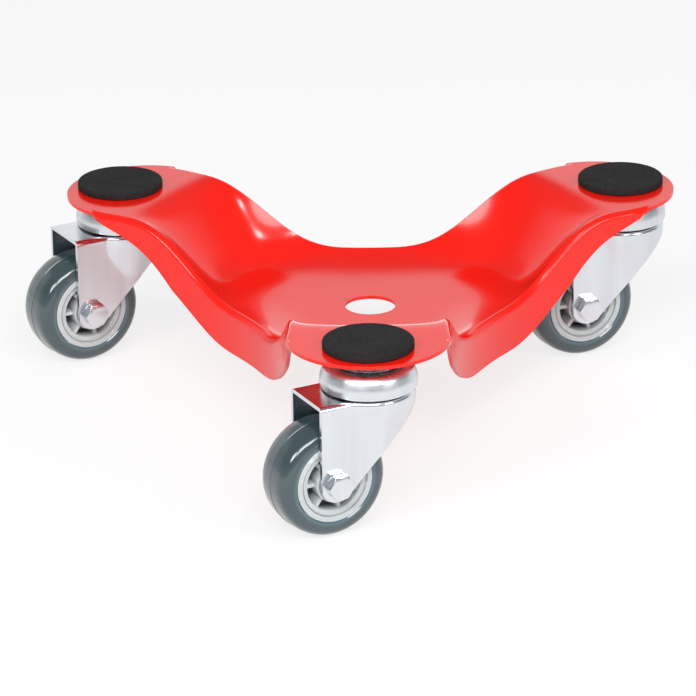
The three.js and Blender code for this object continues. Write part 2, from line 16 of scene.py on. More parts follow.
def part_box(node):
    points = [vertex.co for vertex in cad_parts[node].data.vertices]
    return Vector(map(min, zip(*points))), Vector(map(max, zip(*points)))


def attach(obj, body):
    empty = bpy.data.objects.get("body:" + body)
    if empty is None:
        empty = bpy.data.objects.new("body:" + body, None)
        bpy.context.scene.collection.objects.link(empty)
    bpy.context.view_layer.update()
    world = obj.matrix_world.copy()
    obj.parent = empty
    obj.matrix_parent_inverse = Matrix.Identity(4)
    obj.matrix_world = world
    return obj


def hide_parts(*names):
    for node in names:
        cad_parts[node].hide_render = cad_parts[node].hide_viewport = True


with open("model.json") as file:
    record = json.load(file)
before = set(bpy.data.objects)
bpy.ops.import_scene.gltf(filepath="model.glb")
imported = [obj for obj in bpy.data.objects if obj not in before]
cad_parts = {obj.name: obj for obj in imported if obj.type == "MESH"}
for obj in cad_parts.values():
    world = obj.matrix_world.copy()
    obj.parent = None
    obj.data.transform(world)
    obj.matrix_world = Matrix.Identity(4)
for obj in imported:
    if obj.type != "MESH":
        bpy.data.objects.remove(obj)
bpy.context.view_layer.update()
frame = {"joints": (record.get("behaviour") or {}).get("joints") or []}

bl_info = {
    "name": "Three-wheel dolly",
    "version": (1, 0, 0),
    "blender": (4, 5, 0),
    "location": "3D View > Sidebar > Dolly",
    "description": "Builds a pressed-steel dolly with three swivel casters round its packed model",
    "category": "Object",
}

# ---- places taken from the frame -------------------------------------------------------------------------

ARMS = ("front", "right", "left")
JOINTS = {joint["name"]: joint for joint in frame["joints"]}
SWIVEL = {arm: Vector(JOINTS[f"swivel_{arm}"]["pos_m"]) for arm in ARMS}
AXLE = {arm: Vector(JOINTS[f"roll_{arm}"]["pos_m"]) for arm in ARMS}
MIDDLE = sum(SWIVEL.values(), Vector()) / len(ARMS)
ARM_TOP = SWIVEL["front"].z
WHEEL_RADIUS = AXLE["front"].z
TRAIL = (AXLE["front"] - SWIVEL["front"]).to_2d().length
TURN = 2 * math.pi
ARM_STEP = TURN / len(ARMS)
FIRST_ARM = -math.pi / 2


def span(node, axis):
    """How far a CAD node reaches along one axis."""
    low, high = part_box(node)
    return high[axis] - low[axis]


def low_of(node):
    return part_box(node)[0].z


def high_of(node):
    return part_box(node)[1].z


def ends_of(node):
    return low_of(node), high_of(node)


PAD_RADIUS = span("pad_front", 0) / 2
CUP_RADIUS = span("race_cup_front", 0) / 2
SPACER_RADIUS = span("spacer_front", 0) / 2
CUP_TO_FORK = 0.001
FORK_TOP = low_of("race_cup_front") - CUP_TO_FORK

# ---- fixed sizes that several pieces share -----------------------------------------------------------------

CLEARANCE = 0.0003
SAME_PLACE = 1e-6
SLEEVE_RADIUS = 0.0062
SLEEVE_SHORT = 0.0006
M8_FLATS = 0.013
M8_HEAD = 0.0053
M8_NUT = 0.0065
M8_PITCH = 0.00125
M10_FLATS = 0.016
M10_NUT = 0.0064
M10_PITCH = 0.0015
NUT_COLLAR = 0.0015
THREAD_PAST_NUT = 0.001
KINGPIN_POCKET = 0.0115
TRACK_REACH = 0.0228
WASHER_TEETH = 72

# ---- sizes and colours -----------------------------------------------------------------------------------


def length(name, description, default):
    return FloatProperty(name=name, description=description, default=default, unit="LENGTH", precision=4)


def rotation(name, description, degrees):
    return FloatProperty(name=name, description=description, default=math.radians(degrees), unit="ROTATION")


def count(name, description, default):
    return IntProperty(name=name, description=description, default=default, min=3)


def colour(name, description, default):
    return FloatVectorProperty(name=name, description=description, default=default, subtype="COLOR", size=3)


class DollyDeckSizes(bpy.types.PropertyGroup):
    """Sizes of the pressed deck"""

    sheet: length("Sheet", "Thickness of the pressed sheet", 0.002)
    tip_radius: length("Arm end radius", "Radius of an arm's round end", 0.0453)
    tip_margin: length("Arm end margin", "How far the arm end reaches past the pad", 0.0035)
    waist: length("Waist", "Middle of the deck to its edge midway between two arms", 0.080)
    hole_radius: length("Hole radius", "Radius of the round hole in the middle", 0.0146)
    drop: length("Drop", "Arm ends down to the sunk middle", 0.0428)
    rim_lift: length("Rim lift", "How far the rim stands above the sunk middle", 0.0061)
    rim_width: length("Rim width", "Width of the band that curves up to the rim", 0.045)
    flat_length: length("Flat length", "Swivel axis to the head of the ramp", 0.02575)
    ramp_length: length("Ramp length", "Head of the ramp to its foot", 0.0625)
    rim_flat_length: length("Rim flat length", "Swivel axis to the head of the rim's ramp", 0.0265)
    rim_ramp_length: length("Rim ramp length", "Head of the rim's ramp to its foot", 0.095)
    bend_radius: length("Bend radius", "Outer radius of the bend into the flange", 0.0035)
    flange_depth: length("Flange depth", "Rim to the lower edge of the flange", 0.0258)
    flange_runout: length("Flange run-out", "How far the flange runs on round an arm end", 0.0104)
    flange_taper: length("Flange taper", "Length over which the flange gets shallower", 0.054)
    unbend: length("Unbend length", "Length over which the bend opens into the flat", 0.0035)


class DollyCasterSizes(bpy.types.PropertyGroup):
    """Sizes of a caster's fork and swivel"""

    sheet: length("Fork sheet", "Thickness of the fork's steel", 0.0022)
    leg_outside: length("Leg outside", "Wheel's middle plane to the outer face of a leg", 0.0177)
    rear: length("Fork rear", "Swivel axis to the fork's rear edge", 0.038)
    skirt: length("Skirt", "Fork top down to the start of the slanting edge", 0.006)
    bend_radius: length("Fork bend", "Outer radius of the bend from top to leg", 0.0026)
    crown_radius: length("Crown radius", "Round part of the fork under the cup", 0.0254)
    crown_depth: length("Crown depth", "Straight part of the crown's wall", 0.008)
    crown_taper: length("Crown taper", "Height over which the crown draws in to the legs", 0.020)
    leg_end: length("Leg end radius", "Round end of a leg about the axle", 0.010)
    pin_hole: length("Kingpin hole", "Radius of the hole in the fork's top", 0.009)
    track_outer: length("Track radius", "Outer radius of the raised ball track", 0.0220)
    track_width: length("Track width", "Width of the raised ball track", 0.0066)
    track_height: length("Track height", "Height of the raised ball track", 0.0042)
    kingpin: length("Kingpin radius", "Radius of the kingpin", 0.005)
    cup_draw: length("Cup draw", "Widest part of the race cup to the edge of its flat top", 0.0067)
    cup_wall: length("Cup wall", "Thickness of the race cup", 0.0018)
    axle: length("Axle radius", "Radius of the axle bolt", 0.004)
    balls: count("Balls", "Balls in the swivel", 16)


class DollyWheelSizes(bpy.types.PropertyGroup):
    """Sizes of a wheel"""

    width: length("Width", "Width of the wheel", 0.029)
    tyre: length("Tyre thickness", "Thickness of the tyre", 0.010)
    tread: length("Tread width", "Width of the flat part of the tread", 0.017)
    rim_wall: length("Rim wall", "Hub's rim, measured radially at its face", 0.0066)
    boss_radius: length("Boss radius", "Radius of the hub's middle", 0.0110)
    web: length("Web", "Thickness of the disc between boss and rim", 0.003)
    rib: length("Rib", "Thickness of a rib", 0.0028)
    rib_inset: length("Rib inset", "Hub face to the edges of the ribs", 0.0032)
    ribs: count("Ribs", "Number of ribs on each side", 7)
    bearing_radius: length("Bearing radius", "Outer radius of a bearing", 0.0095)
    bearing_width: length("Bearing width", "Width of a bearing", 0.006)


class DollyColours(bpy.types.PropertyGroup):
    """Base colours of the finishes"""

    enamel: colour("Enamel", "Gloss enamel on the deck", (0.92, 0.012, 0.004))
    foam: colour("Foam", "Foam of the pads", (0.016, 0.0145, 0.015))
    zinc: colour("Zinc", "Zinc plate of the casters", (0.76, 0.79, 0.815))
    dark: colour("Blackened steel", "Blackened steel of the spacer", (0.035, 0.038, 0.048))
    plastic: colour("Hub plastic", "Moulded plastic of the hubs", (0.54, 0.575, 0.575))
    urethane: colour("Tyre", "Polyurethane of the tyres", (0.034, 0.062, 0.074))
    floor: colour("Floor", "Studio floor", (0.86, 0.86, 0.86))


class DollyStage(bpy.types.PropertyGroup):
    """Studio and camera"""

    camera_reach: length("Camera distance", "Camera to the point it looks at", 2.5852)
    camera_height: rotation("Camera elevation", "Angle above the horizon", 22.02)
    camera_turn: rotation("Camera azimuth", "Angle round the dolly", 0.78)
    camera_roll: rotation("Camera roll", "Turn about the line of sight", -0.759)
    lens: FloatProperty(name="Lens", description="Focal length in millimetres", default=236.07)


# ---- mesh helpers ----------------------------------------------------------------------------------------


def clamp(value):
    return min(1.0, max(0.0, value))


def smooth(value, start, end):
    """0 before start, 1 after end, with an even curve between."""
    t = clamp((value - start) / (end - start))
    return t * t * (3 - 2 * t)


def eased(value, start, end):
    """Like smooth, with no sudden change of curvature at its ends."""
    t = clamp((value - start) / (end - start))
    return t**3 * (t * (6 * t - 15) + 10)


def mix(a, b, share):
    return a + (b - a) * share


def wider(a, b, blend):
    """The larger of two numbers, with a soft change from one to the other."""
    return (a + b + math.sqrt((a - b) ** 2 + blend**2)) / 2


def narrower(a, b, blend):
    return -wider(-a, -b, blend)


def neighbours(chain, closed=True):
    """Pairs of points that follow one another in a chain."""
    return list(zip(chain, chain[1:] + chain[:1] if closed else chain[1:]))


def edges_of(bm, chain, closed=True):
    return [bm.edges.get(pair) for pair in neighbours(chain, closed)]


def grow(bm, chain, rows, closed=True):
    """Extrudes a chain of points once for each row of places, and returns the last chain."""
    for row in rows:
        made = bmesh.ops.extrude_edge_only(bm, edges=edges_of(bm, chain, closed))["geom"]
        fresh = {item for item in made if isinstance(item, bmesh.types.BMVert)}
        chain = [next(e.other_vert(v) for e in v.link_edges if e.other_vert(v) in fresh) for v in chain]
        for vert, place in zip(chain, row):
            vert.co = place
    return chain


def ring_start(bm, places):
    """A closed chain of points that starts a surface."""
    chain = bmesh.ops.create_circle(bm, segments=len(places), radius=1.0)["verts"]
    for vert, place in zip(chain, places):
        vert.co = place
    return chain


def face_outwards(bm):
    """Turns an open shell so that most of it faces up."""
    bmesh.ops.recalc_face_normals(bm, faces=bm.faces)
    if sum(face.normal.z * face.calc_area() for face in bm.faces) < 0:
        bmesh.ops.reverse_faces(bm, faces=bm.faces)


def turned(points, rounds=(), steps=64, closed=True):
    """A mesh turned about Z from (radius, height) points, with some of its corners rounded.

    Each of rounds is a point's place in the list and how much of its corner is taken off.
    """
    bm = bmesh.new()
    chain = [bm.verts.new((radius, 0, height)) for radius, height in points]
    for pair in neighbours(chain, closed):
        bm.edges.new(pair)
    for place, amount in rounds:
        bmesh.ops.bevel(
            bm,
            geom=[chain[place]],
            offset=amount,
            offset_type="OFFSET",
            segments=6,
            profile=0.5,
            affect="VERTICES",
            clamp_overlap=True,
        )
    outline = bm.verts[:] + bm.edges[:]
    bmesh.ops.spin(bm, geom=outline, cent=(0, 0, 0), axis=(0, 0, 1), angle=TURN, steps=steps, use_merge=True)
    bmesh.ops.remove_doubles(bm, verts=bm.verts, dist=SAME_PLACE)
    bmesh.ops.recalc_face_normals(bm, faces=bm.faces)
    return bm


def joined(*parts):
    """One bmesh that holds several."""
    whole = bmesh.new()
    for part in parts:
        scratch = bpy.data.meshes.new("scratch")
        part.to_mesh(scratch)
        part.free()
        whole.from_mesh(scratch)
        bpy.data.meshes.remove(scratch)
    return whole


def copied(bm, matrix):
    """A moved copy of a bmesh."""
    return moved(bm.copy(), matrix)


def moved(bm, matrix):
    bmesh.ops.transform(bm, matrix=matrix, verts=bm.verts)
    return bm


def on_swivel(arm):
    """From a caster's own axes, +X trailing and +Y to the axle bolt's head, to its place under an arm."""
    trailing = AXLE[arm] - SWIVEL[arm]
    turn = Matrix.Rotation(math.atan2(trailing.y, trailing.x), 4, "Z")
    return Matrix.Translation((SWIVEL[arm].x, SWIVEL[arm].y, 0)) @ turn


def on_axle(arm):
    """From a turned piece's own axis, Z, to the axle."""
    return on_swivel(arm) @ Matrix.Translation((TRAIL, 0, WHEEL_RADIUS)) @ Matrix.Rotation(-TURN / 4, 4, "X")


def finish_piece(name, bm, body, node, slot, finish, edge=0.0, wall=0.0, edge_angle=32, soft=38):
    """Makes a mesh an object of the dolly, with its finish and body, and hides the CAD node it stands for;
    slot is not used.
    """
    mesh = bpy.data.meshes.new(name)
    bm.to_mesh(mesh)
    bm.free()
    mesh.shade_smooth()
    mesh.set_sharp_from_angle(angle=math.radians(soft))
    mesh.materials.append(finish)
    piece = bpy.data.objects.new(name, mesh)
    bpy.context.scene.collection.objects.link(piece)
    if wall:
        thick = piece.modifiers.new("Wall", "SOLIDIFY")
        thick.thickness = wall
        thick.offset = -1
        thick.use_even_offset = True
        thick.use_quality_normals = True
    if edge:
        bevel = piece.modifiers.new("Edges", "BEVEL")
        bevel.width = edge
        bevel.segments = 3
        bevel.limit_method = "ANGLE"
        bevel.angle_limit = math.radians(edge_angle)
        bevel.harden_normals = True
        bevel.miter_outer = "MITER_ARC"
    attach(piece, body)
    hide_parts(node)
    return piece


# ---- deck ------------------------------------------------------------------------------------------------


class DeckShape:
    """Where the top face of the pressed sheet lies, in the frame's axes."""

    def __init__(self, sizes):
        self.s = sizes
        arm = (SWIVEL["front"] - MIDDLE).to_2d().length
        self.ramp_head = arm - sizes.flat_length
        self.ramp_foot = self.ramp_head - sizes.ramp_length
        self.rim_head = arm - sizes.rim_flat_length
        self.rim_foot = self.rim_head - sizes.rim_ramp_length
        self.floor = ARM_TOP - sizes.drop
        self.rim_low = self.floor + sizes.rim_lift
        self.tip = arm + PAD_RADIUS + sizes.tip_margin - sizes.tip_radius
        less = sizes.tip_radius - sizes.waist
        self.waist_middle = (self.tip**2 - less**2) / (self.tip + 2 * less)
        self.waist_arc = self.waist_middle - sizes.waist
        self.arms = [FIRST_ARM + i * ARM_STEP for i in range(len(ARMS))]

    def along(self, x, y):
        """Distance along the nearest arm."""
        return max(x * math.cos(a) + y * math.sin(a) for a in self.arms)

    def inset(self, x, y):
        """Distance inside the rim of the nearest waist."""
        distances = []
        for bearing in self.arms:
            away = bearing + ARM_STEP / 2
            dx = x - self.waist_middle * math.cos(away)
            dy = y - self.waist_middle * math.sin(away)
            distances.append(max(0.0, math.hypot(dx, dy) - self.waist_arc - self.s.bend_radius))
        return min(distances)

    def height(self, x, y):
        along = self.along(x, y)
        middle = self.floor + self.s.drop * eased(along, self.ramp_foot, self.ramp_head)
        rim = self.rim_low + (ARM_TOP - self.rim_low) * eased(along, self.rim_foot, self.rim_head)
        share = 1 - clamp(self.inset(x, y) / self.s.rim_width)
        return middle + (rim - middle) * share**3

    def outline(self, waist_steps, tip_steps):
        """Places round the edge: a point, the way out, and the distance past the touch of waist and tip."""
        half = math.pi / 3
        touch = math.atan2(self.waist_middle * math.sin(half), self.waist_middle * math.cos(half) - self.tip)
        half_waist = touch - half
        places = []

        def waist(side, share):
            angle = side * (4 * half + half_waist * share)
            x = self.waist_middle * math.cos(half) + self.waist_arc * math.cos(angle)
            y = side * self.waist_middle * math.sin(half) + self.waist_arc * math.sin(angle)
            return Vector((x, y)), angle + math.pi, (share - 1) * half_waist * self.waist_arc

        def tip(share):
            angle = touch * (2 * share - 1)
            radius = self.s.tip_radius
            point = Vector((self.tip + radius * math.cos(angle), radius * math.sin(angle)))
            return point, angle, (touch - abs(angle)) * radius

        third = [waist(-1, i / waist_steps) for i in range(waist_steps)]
        third += [tip(i / tip_steps) for i in range(tip_steps + 1)]
        third += [waist(1, i / waist_steps) for i in range(waist_steps - 1, 0, -1)]
        for bearing in self.arms:
            turn = Matrix.Rotation(bearing, 2)
            for point, angle, past in third:
                out = Vector((math.cos(angle), math.sin(angle)))
                places.append((turn @ point, turn @ out, past))
        return places

    def ray(self, point, out, past, shares, bend_steps, wall_steps):
        """Points from the hole out to the rim, round the bend and down the flange."""
        s = self.s
        rim = point - out * s.bend_radius
        reach = rim.length
        way = rim / reach
        row = []
        for share in shares:
            flat = way * mix(s.hole_radius, reach, share)
            row.append(Vector((flat.x, flat.y, self.height(flat.x, flat.y))))
        rim_z = row[-1].z
        bent = 1 - smooth(past, s.flange_runout - s.unbend, s.flange_runout)
        wall = (s.flange_depth - s.bend_radius) * clamp((s.flange_runout - past) / s.flange_taper)
        wall = max(wall, s.sheet)
        for i in range(1, bend_steps + wall_steps + 1):
            turn = min(1.0, i / bend_steps) * TURN / 4
            fallen = max(0.0, (i - bend_steps) / wall_steps)
            flat_share = 0.85 * i / (bend_steps + wall_steps) if i < bend_steps + wall_steps else 1.0
            away = mix(s.bend_radius * flat_share, s.bend_radius * math.sin(turn), bent)
            drop = bent * (s.bend_radius * (1 - math.cos(turn)) + wall * fallen)
            flat = rim + out * away
            row.append(Vector((flat.x, flat.y, rim_z - drop)))
        return [p + Vector((MIDDLE.x, MIDDLE.y, 0)) for p in row]


def build_deck(sizes):
    shape = DeckShape(sizes)
    rows = 60
    shares = [i / rows for i in range(rows)] + [0.994, 1.0]
    places = shape.outline(waist_steps=40, tip_steps=52)
    rays = [shape.ray(point, out, past, shares, bend_steps=6, wall_steps=8) for point, out, past in places]
    bm = bmesh.new()
    start = ring_start(bm, [ray[0] for ray in rays])
    grow(bm, start, [[ray[i] for ray in rays] for i in range(1, len(rays[0]))])
    face_outwards(bm)
    return bm


# ---- fork ------------------------------------------------------------------------------------------------


class ForkShape:
    """Outer face of the fork in a caster's own axes."""

    def __init__(self, sizes):
        self.s = sizes
        self.skirt_z = FORK_TOP - sizes.skirt
        dx = TRAIL + sizes.crown_radius
        dz = self.skirt_z - WHEEL_RADIUS
        slant = math.atan2(dz, -dx) + math.acos(sizes.leg_end / math.hypot(dx, dz))
        self.touch_x = TRAIL + sizes.leg_end * math.cos(slant)
        self.touch_z = WHEEL_RADIUS + sizes.leg_end * math.sin(slant)
        self.slope = (self.touch_z - self.skirt_z) / (self.touch_x + sizes.crown_radius)

    def crown(self, z):
        """Radius of the round part at a height."""
        s = self.s
        start = FORK_TOP - s.crown_depth
        t = (z - start) / s.crown_taper + 1
        t = narrower(wider(t, 0, 0.08), 1, 0.08)
        return s.leg_outside + (s.crown_radius - s.leg_outside) * t

    def outer(self, angle, z):
        """A point on the outer wall in a direction from the swivel axis."""
        plane = self.s.leg_outside / math.sin(min(abs(angle), TURN / 4))
        reach = wider(self.crown(z), plane, 0.0012)
        return Vector((reach * math.cos(angle), reach * math.sin(angle)))

    def lower_edge(self, x):
        if x < self.touch_x:
            return min(self.skirt_z, self.skirt_z + (x + self.s.crown_radius) * self.slope)
        return WHEEL_RADIUS - math.sqrt(max(0.0, self.s.leg_end**2 - (x - TRAIL) ** 2))

    def angles(self):
        """Directions of the wall's columns on the +Y side, from the rear edge to straight ahead."""
        s = self.s
        joint = math.asin(s.leg_outside / s.crown_radius)
        joint_x = s.leg_outside / math.tan(joint)
        legs = 24
        found = [math.atan2(s.leg_outside, mix(s.rear, joint_x, i / legs)) for i in range(legs)]
        crown = 58
        return found + [mix(joint, math.pi, i / crown) for i in range(crown + 1)]


def track_height(radius, sizes):
    """Height of the raised ball track above the fork's top."""
    inner = sizes.track_outer - sizes.track_width
    edge = 0.0011
    rise = smooth(radius, inner - edge, inner + edge / 2)
    fall = 1 - smooth(radius, sizes.track_outer - edge / 2, sizes.track_outer + edge)
    return sizes.track_height * min(rise, fall)


def build_fork(sizes):
    shape = ForkShape(sizes)
    bend = sizes.bend_radius
    half = shape.angles()
    angles = half + [-a for a in reversed(half[:-1])]
    walls = [shape.outer(a, FORK_TOP - bend) for a in angles]
    columns = []
    for i, (angle, wall) in enumerate(zip(angles, walls)):
        before = walls[i - 1] if i else wall - (walls[1] - wall)
        after = walls[i + 1] if i + 1 < len(walls) else wall + (wall - walls[-2])
        run = (after - before).normalized()
        columns.append((angle, wall, Vector((run.y, -run.x))))
    seams = [wall - out * bend for _, wall, out in columns]
    rear_steps = 8
    rear = [Vector((sizes.rear, mix(-1, 1, i / rear_steps) * seams[0].y)) for i in range(1, rear_steps)]
    rim = seams + rear
    bm = bmesh.new()
    radii = [sizes.pin_hole, 0.0100, 0.0120, 0.0142]
    radii += [mix(0.0147, TRACK_REACH, i / 16) for i in range(17)]

    def plate_point(seam, radius=None, share=None):
        """A point on the top plate, either at a radius or at a share of the way to the seam."""
        far = seam.length
        reach = min(radius, far * 0.985) if share is None else mix(min(TRACK_REACH, far * 0.985), far, share)
        flat = seam * (reach / far)
        return Vector((flat.x, flat.y, FORK_TOP + track_height(reach, sizes) * (1 if share is None else 0)))

    start = ring_start(bm, [plate_point(seam, radius=radii[0]) for seam in rim])
    rows = [[plate_point(seam, radius=r) for seam in rim] for r in radii[1:]]
    rows += [[plate_point(seam, share=share) for seam in rim] for share in (0.35, 0.7, 0.95, 1.0)]
    edge = grow(bm, start, rows)
    bend_steps = 6
    wall_steps = 42
    rows = []
    for step in range(1, bend_steps + 1):
        turn = step / bend_steps * TURN / 4
        row = []
        for _, wall, out in columns:
            flat = wall - out * bend * (1 - math.sin(turn))
            row.append(Vector((flat.x, flat.y, FORK_TOP - bend * (1 - math.cos(turn)))))
        rows.append(row)
    ends = []
    for angle, wall, _ in columns:
        x = wall.x
        for _ in range(8):
            low = shape.lower_edge(x)
            x = shape.outer(angle, low).x
        ends.append(min(low, FORK_TOP - bend - 0.001))
    for step in range(1, wall_steps + 1):
        row = []
        for (angle, _, _), low in zip(columns, ends):
            z = mix(FORK_TOP - bend, low, step / wall_steps)
            flat = shape.outer(angle, z)
            row.append(Vector((flat.x, flat.y, z)))
        rows.append(row)
    grow(bm, edge[: len(columns)], rows, closed=False)
    hole = sizes.axle + CLEARANCE
    near = [
        face
        for face in bm.faces
        if face.calc_center_median().z < 2 * WHEEL_RADIUS
        and math.hypot(face.calc_center_median().x - TRAIL, face.calc_center_median().z - WHEEL_RADIUS) < hole
    ]
    bmesh.ops.delete(bm, geom=near, context="FACES")
    for vert in bm.verts:
        away = Vector((vert.co.x - TRAIL, vert.co.z - WHEEL_RADIUS))
        if vert.is_boundary and away.length < hole + 0.0015:
            away.normalize()
            vert.co.x = TRAIL + away.x * hole
            vert.co.z = WHEEL_RADIUS + away.y * hole
    face_outwards(bm)
    return bm


# ---- turned and hexagonal pieces ---------------------------------------------------------------------------


def hex_head(flats, height, low, bore=0.0, collar=0.0):
    """A hexagon head or nut that stands on a height and points along Z, chamfered, with a washer face.

    A nut has a bore, and may have a locking collar on top.
    """
    flat = flats / 2
    per_side = 8
    steps = 6 * per_side
    round_top = flat * 0.95
    fall = math.tan(math.radians(30))
    washer = 0.0004

    def hexagon(i):
        angle = TURN * i / steps
        side = TURN / 6
        return flat / math.cos((angle % side) - side / 2)

    def row(radius, z):
        return [
            Vector((radius(i) * math.cos(TURN * i / steps), radius(i) * math.sin(TURN * i / steps), z(i)))
            for i in range(steps)
        ]

    def ring(radius, z):
        return row(lambda i: radius, lambda i: z)

    top = low + height
    bm = bmesh.new()
    rows = []
    if collar:
        crown = flat * 0.86
        rows += [
            ring(max(bore, crown * 0.7), top + collar),
            ring(crown * 0.93, top + collar),
            ring(crown, top + collar * 0.6),
            ring(crown, top),
        ]
    rows += [
        ring(round_top, top),
        row(hexagon, lambda i: top - (hexagon(i) - round_top) * fall),
        row(hexagon, lambda i: low + washer),
        ring(flat * 0.96, low + washer),
        ring(flat * 0.96, low),
    ]
    if bore:
        rows += [ring(bore, low), ring(bore, top + collar)]
    start = ring_start(bm, rows[0])
    last = grow(bm, start, rows[1:])
    if bore:
        bmesh.ops.bridge_loops(bm, edges=edges_of(bm, start) + edges_of(bm, last))
    else:
        for chain in (start, last):
            bmesh.ops.edgeloop_fill(bm, edges=edges_of(bm, chain))
    bmesh.ops.remove_doubles(bm, verts=bm.verts, dist=SAME_PLACE)
    bmesh.ops.recalc_face_normals(bm, faces=bm.faces)
    return bm


def threaded(radius, low, high, pitch):
    """Profile points of a screw thread's ridges, from low to high."""
    turns = max(1, round((high - low) / pitch))
    step = (high - low) / turns
    points = []
    for i in range(turns):
        points.append((radius, low + step * (i + 0.25)))
        points.append((radius - step * 0.5, low + step * (i + 0.75)))
    return points


def build_pad(low, high, pocket_radius, pocket_top):
    """Foam disc with soft edges and small dents, over a pocket for the kingpin's head."""
    radius = PAD_RADIUS - 0.0001
    top = high - 0.00015
    flat_rows = [(radius * i / 22, top) for i in range(22)]
    pocket = [(0, pocket_top), (pocket_radius, pocket_top), (pocket_radius, low)]
    points = pocket + [(radius, low), (radius, top)] + flat_rows[:0:-1] + [(0, top)]
    bm = turned(points, [(3, 0.0005), (4, 0.0010)], steps=120, closed=False)
    for vert in bm.verts:
        dent = noise.noise(vert.co * 90) * 0.00008 + noise.noise(vert.co * 300) * 0.00002
        if vert.co.z > top - 0.00002:
            vert.co.z += min(dent, 0.0001)
        elif math.hypot(vert.co.x, vert.co.y) > radius - 0.0004:
            vert.co.xy *= 1 + min(dent * 0.7, 0.00009) / radius
    return bm


def build_kingpin(sizes, seat, top, tail):
    radius = sizes.kingpin
    thread_top = tail + 0.012
    points = [(0, tail), (radius - 0.0007, tail), (radius - 0.0002, tail + 0.0006)]
    points += threaded(radius, tail + 0.0008, thread_top, M10_PITCH)
    points += [
        (radius, thread_top + 0.0004),
        (radius, seat),
        (0.0100, seat),
        (0.0098, seat + 0.0007),
        (0.0080, top - 0.0002),
        (0.0030, top),
        (0.0030, top - 0.0014),
        (0, top - 0.0014),
    ]
    return turned(points, [(-5, 0.0003)], steps=48, closed=False)


def build_spacer(sizes, low, high):
    """Stack of hardened washers with a toothed locking washer between them."""
    bore = sizes.kingpin + CLEARANCE
    size = high - low
    levels = [0.0, 0.22, 0.24, 0.50, 0.52, 0.76, 0.78, 1.0]
    radii = [SPACER_RADIUS - 0.0009, SPACER_RADIUS - 0.0002, SPACER_RADIUS - 0.0012, SPACER_RADIUS - 0.0004]
    points = [(bore, low)]
    rounds = []
    for i, radius in enumerate(radii):
        bottom = low + size * levels[2 * i]
        top = low + size * levels[2 * i + 1]
        if i:
            points.append((SPACER_RADIUS - 0.0026, bottom))
        points += [(radius, bottom), (radius, top)]
        rounds += [(len(points) - 2, 0.0003), (len(points) - 1, 0.0003)]
        if i < len(radii) - 1:
            points.append((SPACER_RADIUS - 0.0026, top))
    points.append((bore, high))
    bm = turned(points, rounds, steps=2 * WASHER_TEETH)
    for vert in bm.verts:
        reach = math.hypot(vert.co.x, vert.co.y)
        band = (vert.co.z - low) / size
        toothed = reach > SPACER_RADIUS - 0.0020 and (levels[2] < band < levels[3] or levels[6] < band)
        if toothed:
            turn = math.atan2(vert.co.y, vert.co.x) / TURN * 2 * WASHER_TEETH
            vert.co.xy *= 1 - (0.0006 if round(turn) % 2 else 0.0) / reach
    return bm


def build_cup(sizes, low, high):
    """Pressed cup with a flat top, a rounded shoulder and a wall that draws in to its lip."""
    bore = sizes.kingpin + CLEARANCE
    draw = sizes.cup_draw
    top = CUP_RADIUS - draw
    brow = top + 0.42 * draw
    shoulder = top + 0.68 * draw
    lip = CUP_RADIUS - 0.0009
    wall = sizes.cup_wall
    points = [
        (bore, high),
        (top, high),
        (brow, high - 0.0010),
        (shoulder, high - 0.0030),
        (CUP_RADIUS, high - 0.0090),
        (lip, low),
        (lip - wall, low),
        (CUP_RADIUS - wall, high - 0.0094),
        (shoulder - 0.0015, high - 0.0040),
        (brow - 0.0008, high - 0.0027),
        (top - 0.0004, high - wall),
        (bore, high - wall),
    ]
    rounds = [(1, 0.0013), (2, 0.0011), (3, 0.0011), (4, 0.0032), (5, 0.0005), (6, 0.0005), (8, 0.0008)]
    return turned(points, rounds, steps=128)


def build_balls(sizes):
    """Swivel balls on a wire, between the fork's track and the cup."""
    low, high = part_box("ball_retainer_front")
    size = (high.z - low.z) / 2
    z = (high.z + low.z) / 2
    circle = (high.x - low.x) / 2 - size
    parts = []
    for i in range(sizes.balls):
        bm = bmesh.new()
        bmesh.ops.create_uvsphere(bm, u_segments=20, v_segments=12, radius=size)
        angle = TURN * i / sizes.balls
        place = Matrix.Translation((circle * math.cos(angle), circle * math.sin(angle), z))
        parts.append(moved(bm, place))
    wire = 0.0009
    section = [
        (circle + wire * math.cos(TURN * i / 10), z + wire * math.sin(TURN * i / 10)) for i in range(10)
    ]
    parts.append(turned(section, steps=64))
    return joined(*parts)


def build_lower_race(sizes, low, high):
    bore = sizes.kingpin + CLEARANCE
    outer = span("lower_race_front", 0) / 2
    points = [
        (bore, low),
        (outer - 0.0030, low),
        (outer - 0.0004, low + 0.0010),
        (outer, low + 0.0014),
        (outer, high),
        (bore, high),
    ]
    return turned(points, [(1, 0.0006)], steps=64)


def build_axle_bolt(sizes, seat, end):
    """Shank with a threaded end, and a hexagon head on the +Z side."""
    radius = sizes.axle
    points = [(0, end), (radius - 0.0006, end), (radius - 0.0002, end + 0.0005)]
    points += threaded(radius, end + 0.0007, end + 0.0145, M8_PITCH)
    points += [(radius, end + 0.0150), (radius, seat + 0.001), (0, seat + 0.001)]
    shank = turned(points, steps=40, closed=False)
    return joined(shank, hex_head(M8_FLATS, M8_HEAD, seat))


def build_sleeve(sizes, half):
    bore = sizes.axle + CLEARANCE
    return turned([(bore, -half), (SLEEVE_RADIUS, -half), (SLEEVE_RADIUS, half), (bore, half)], steps=48)


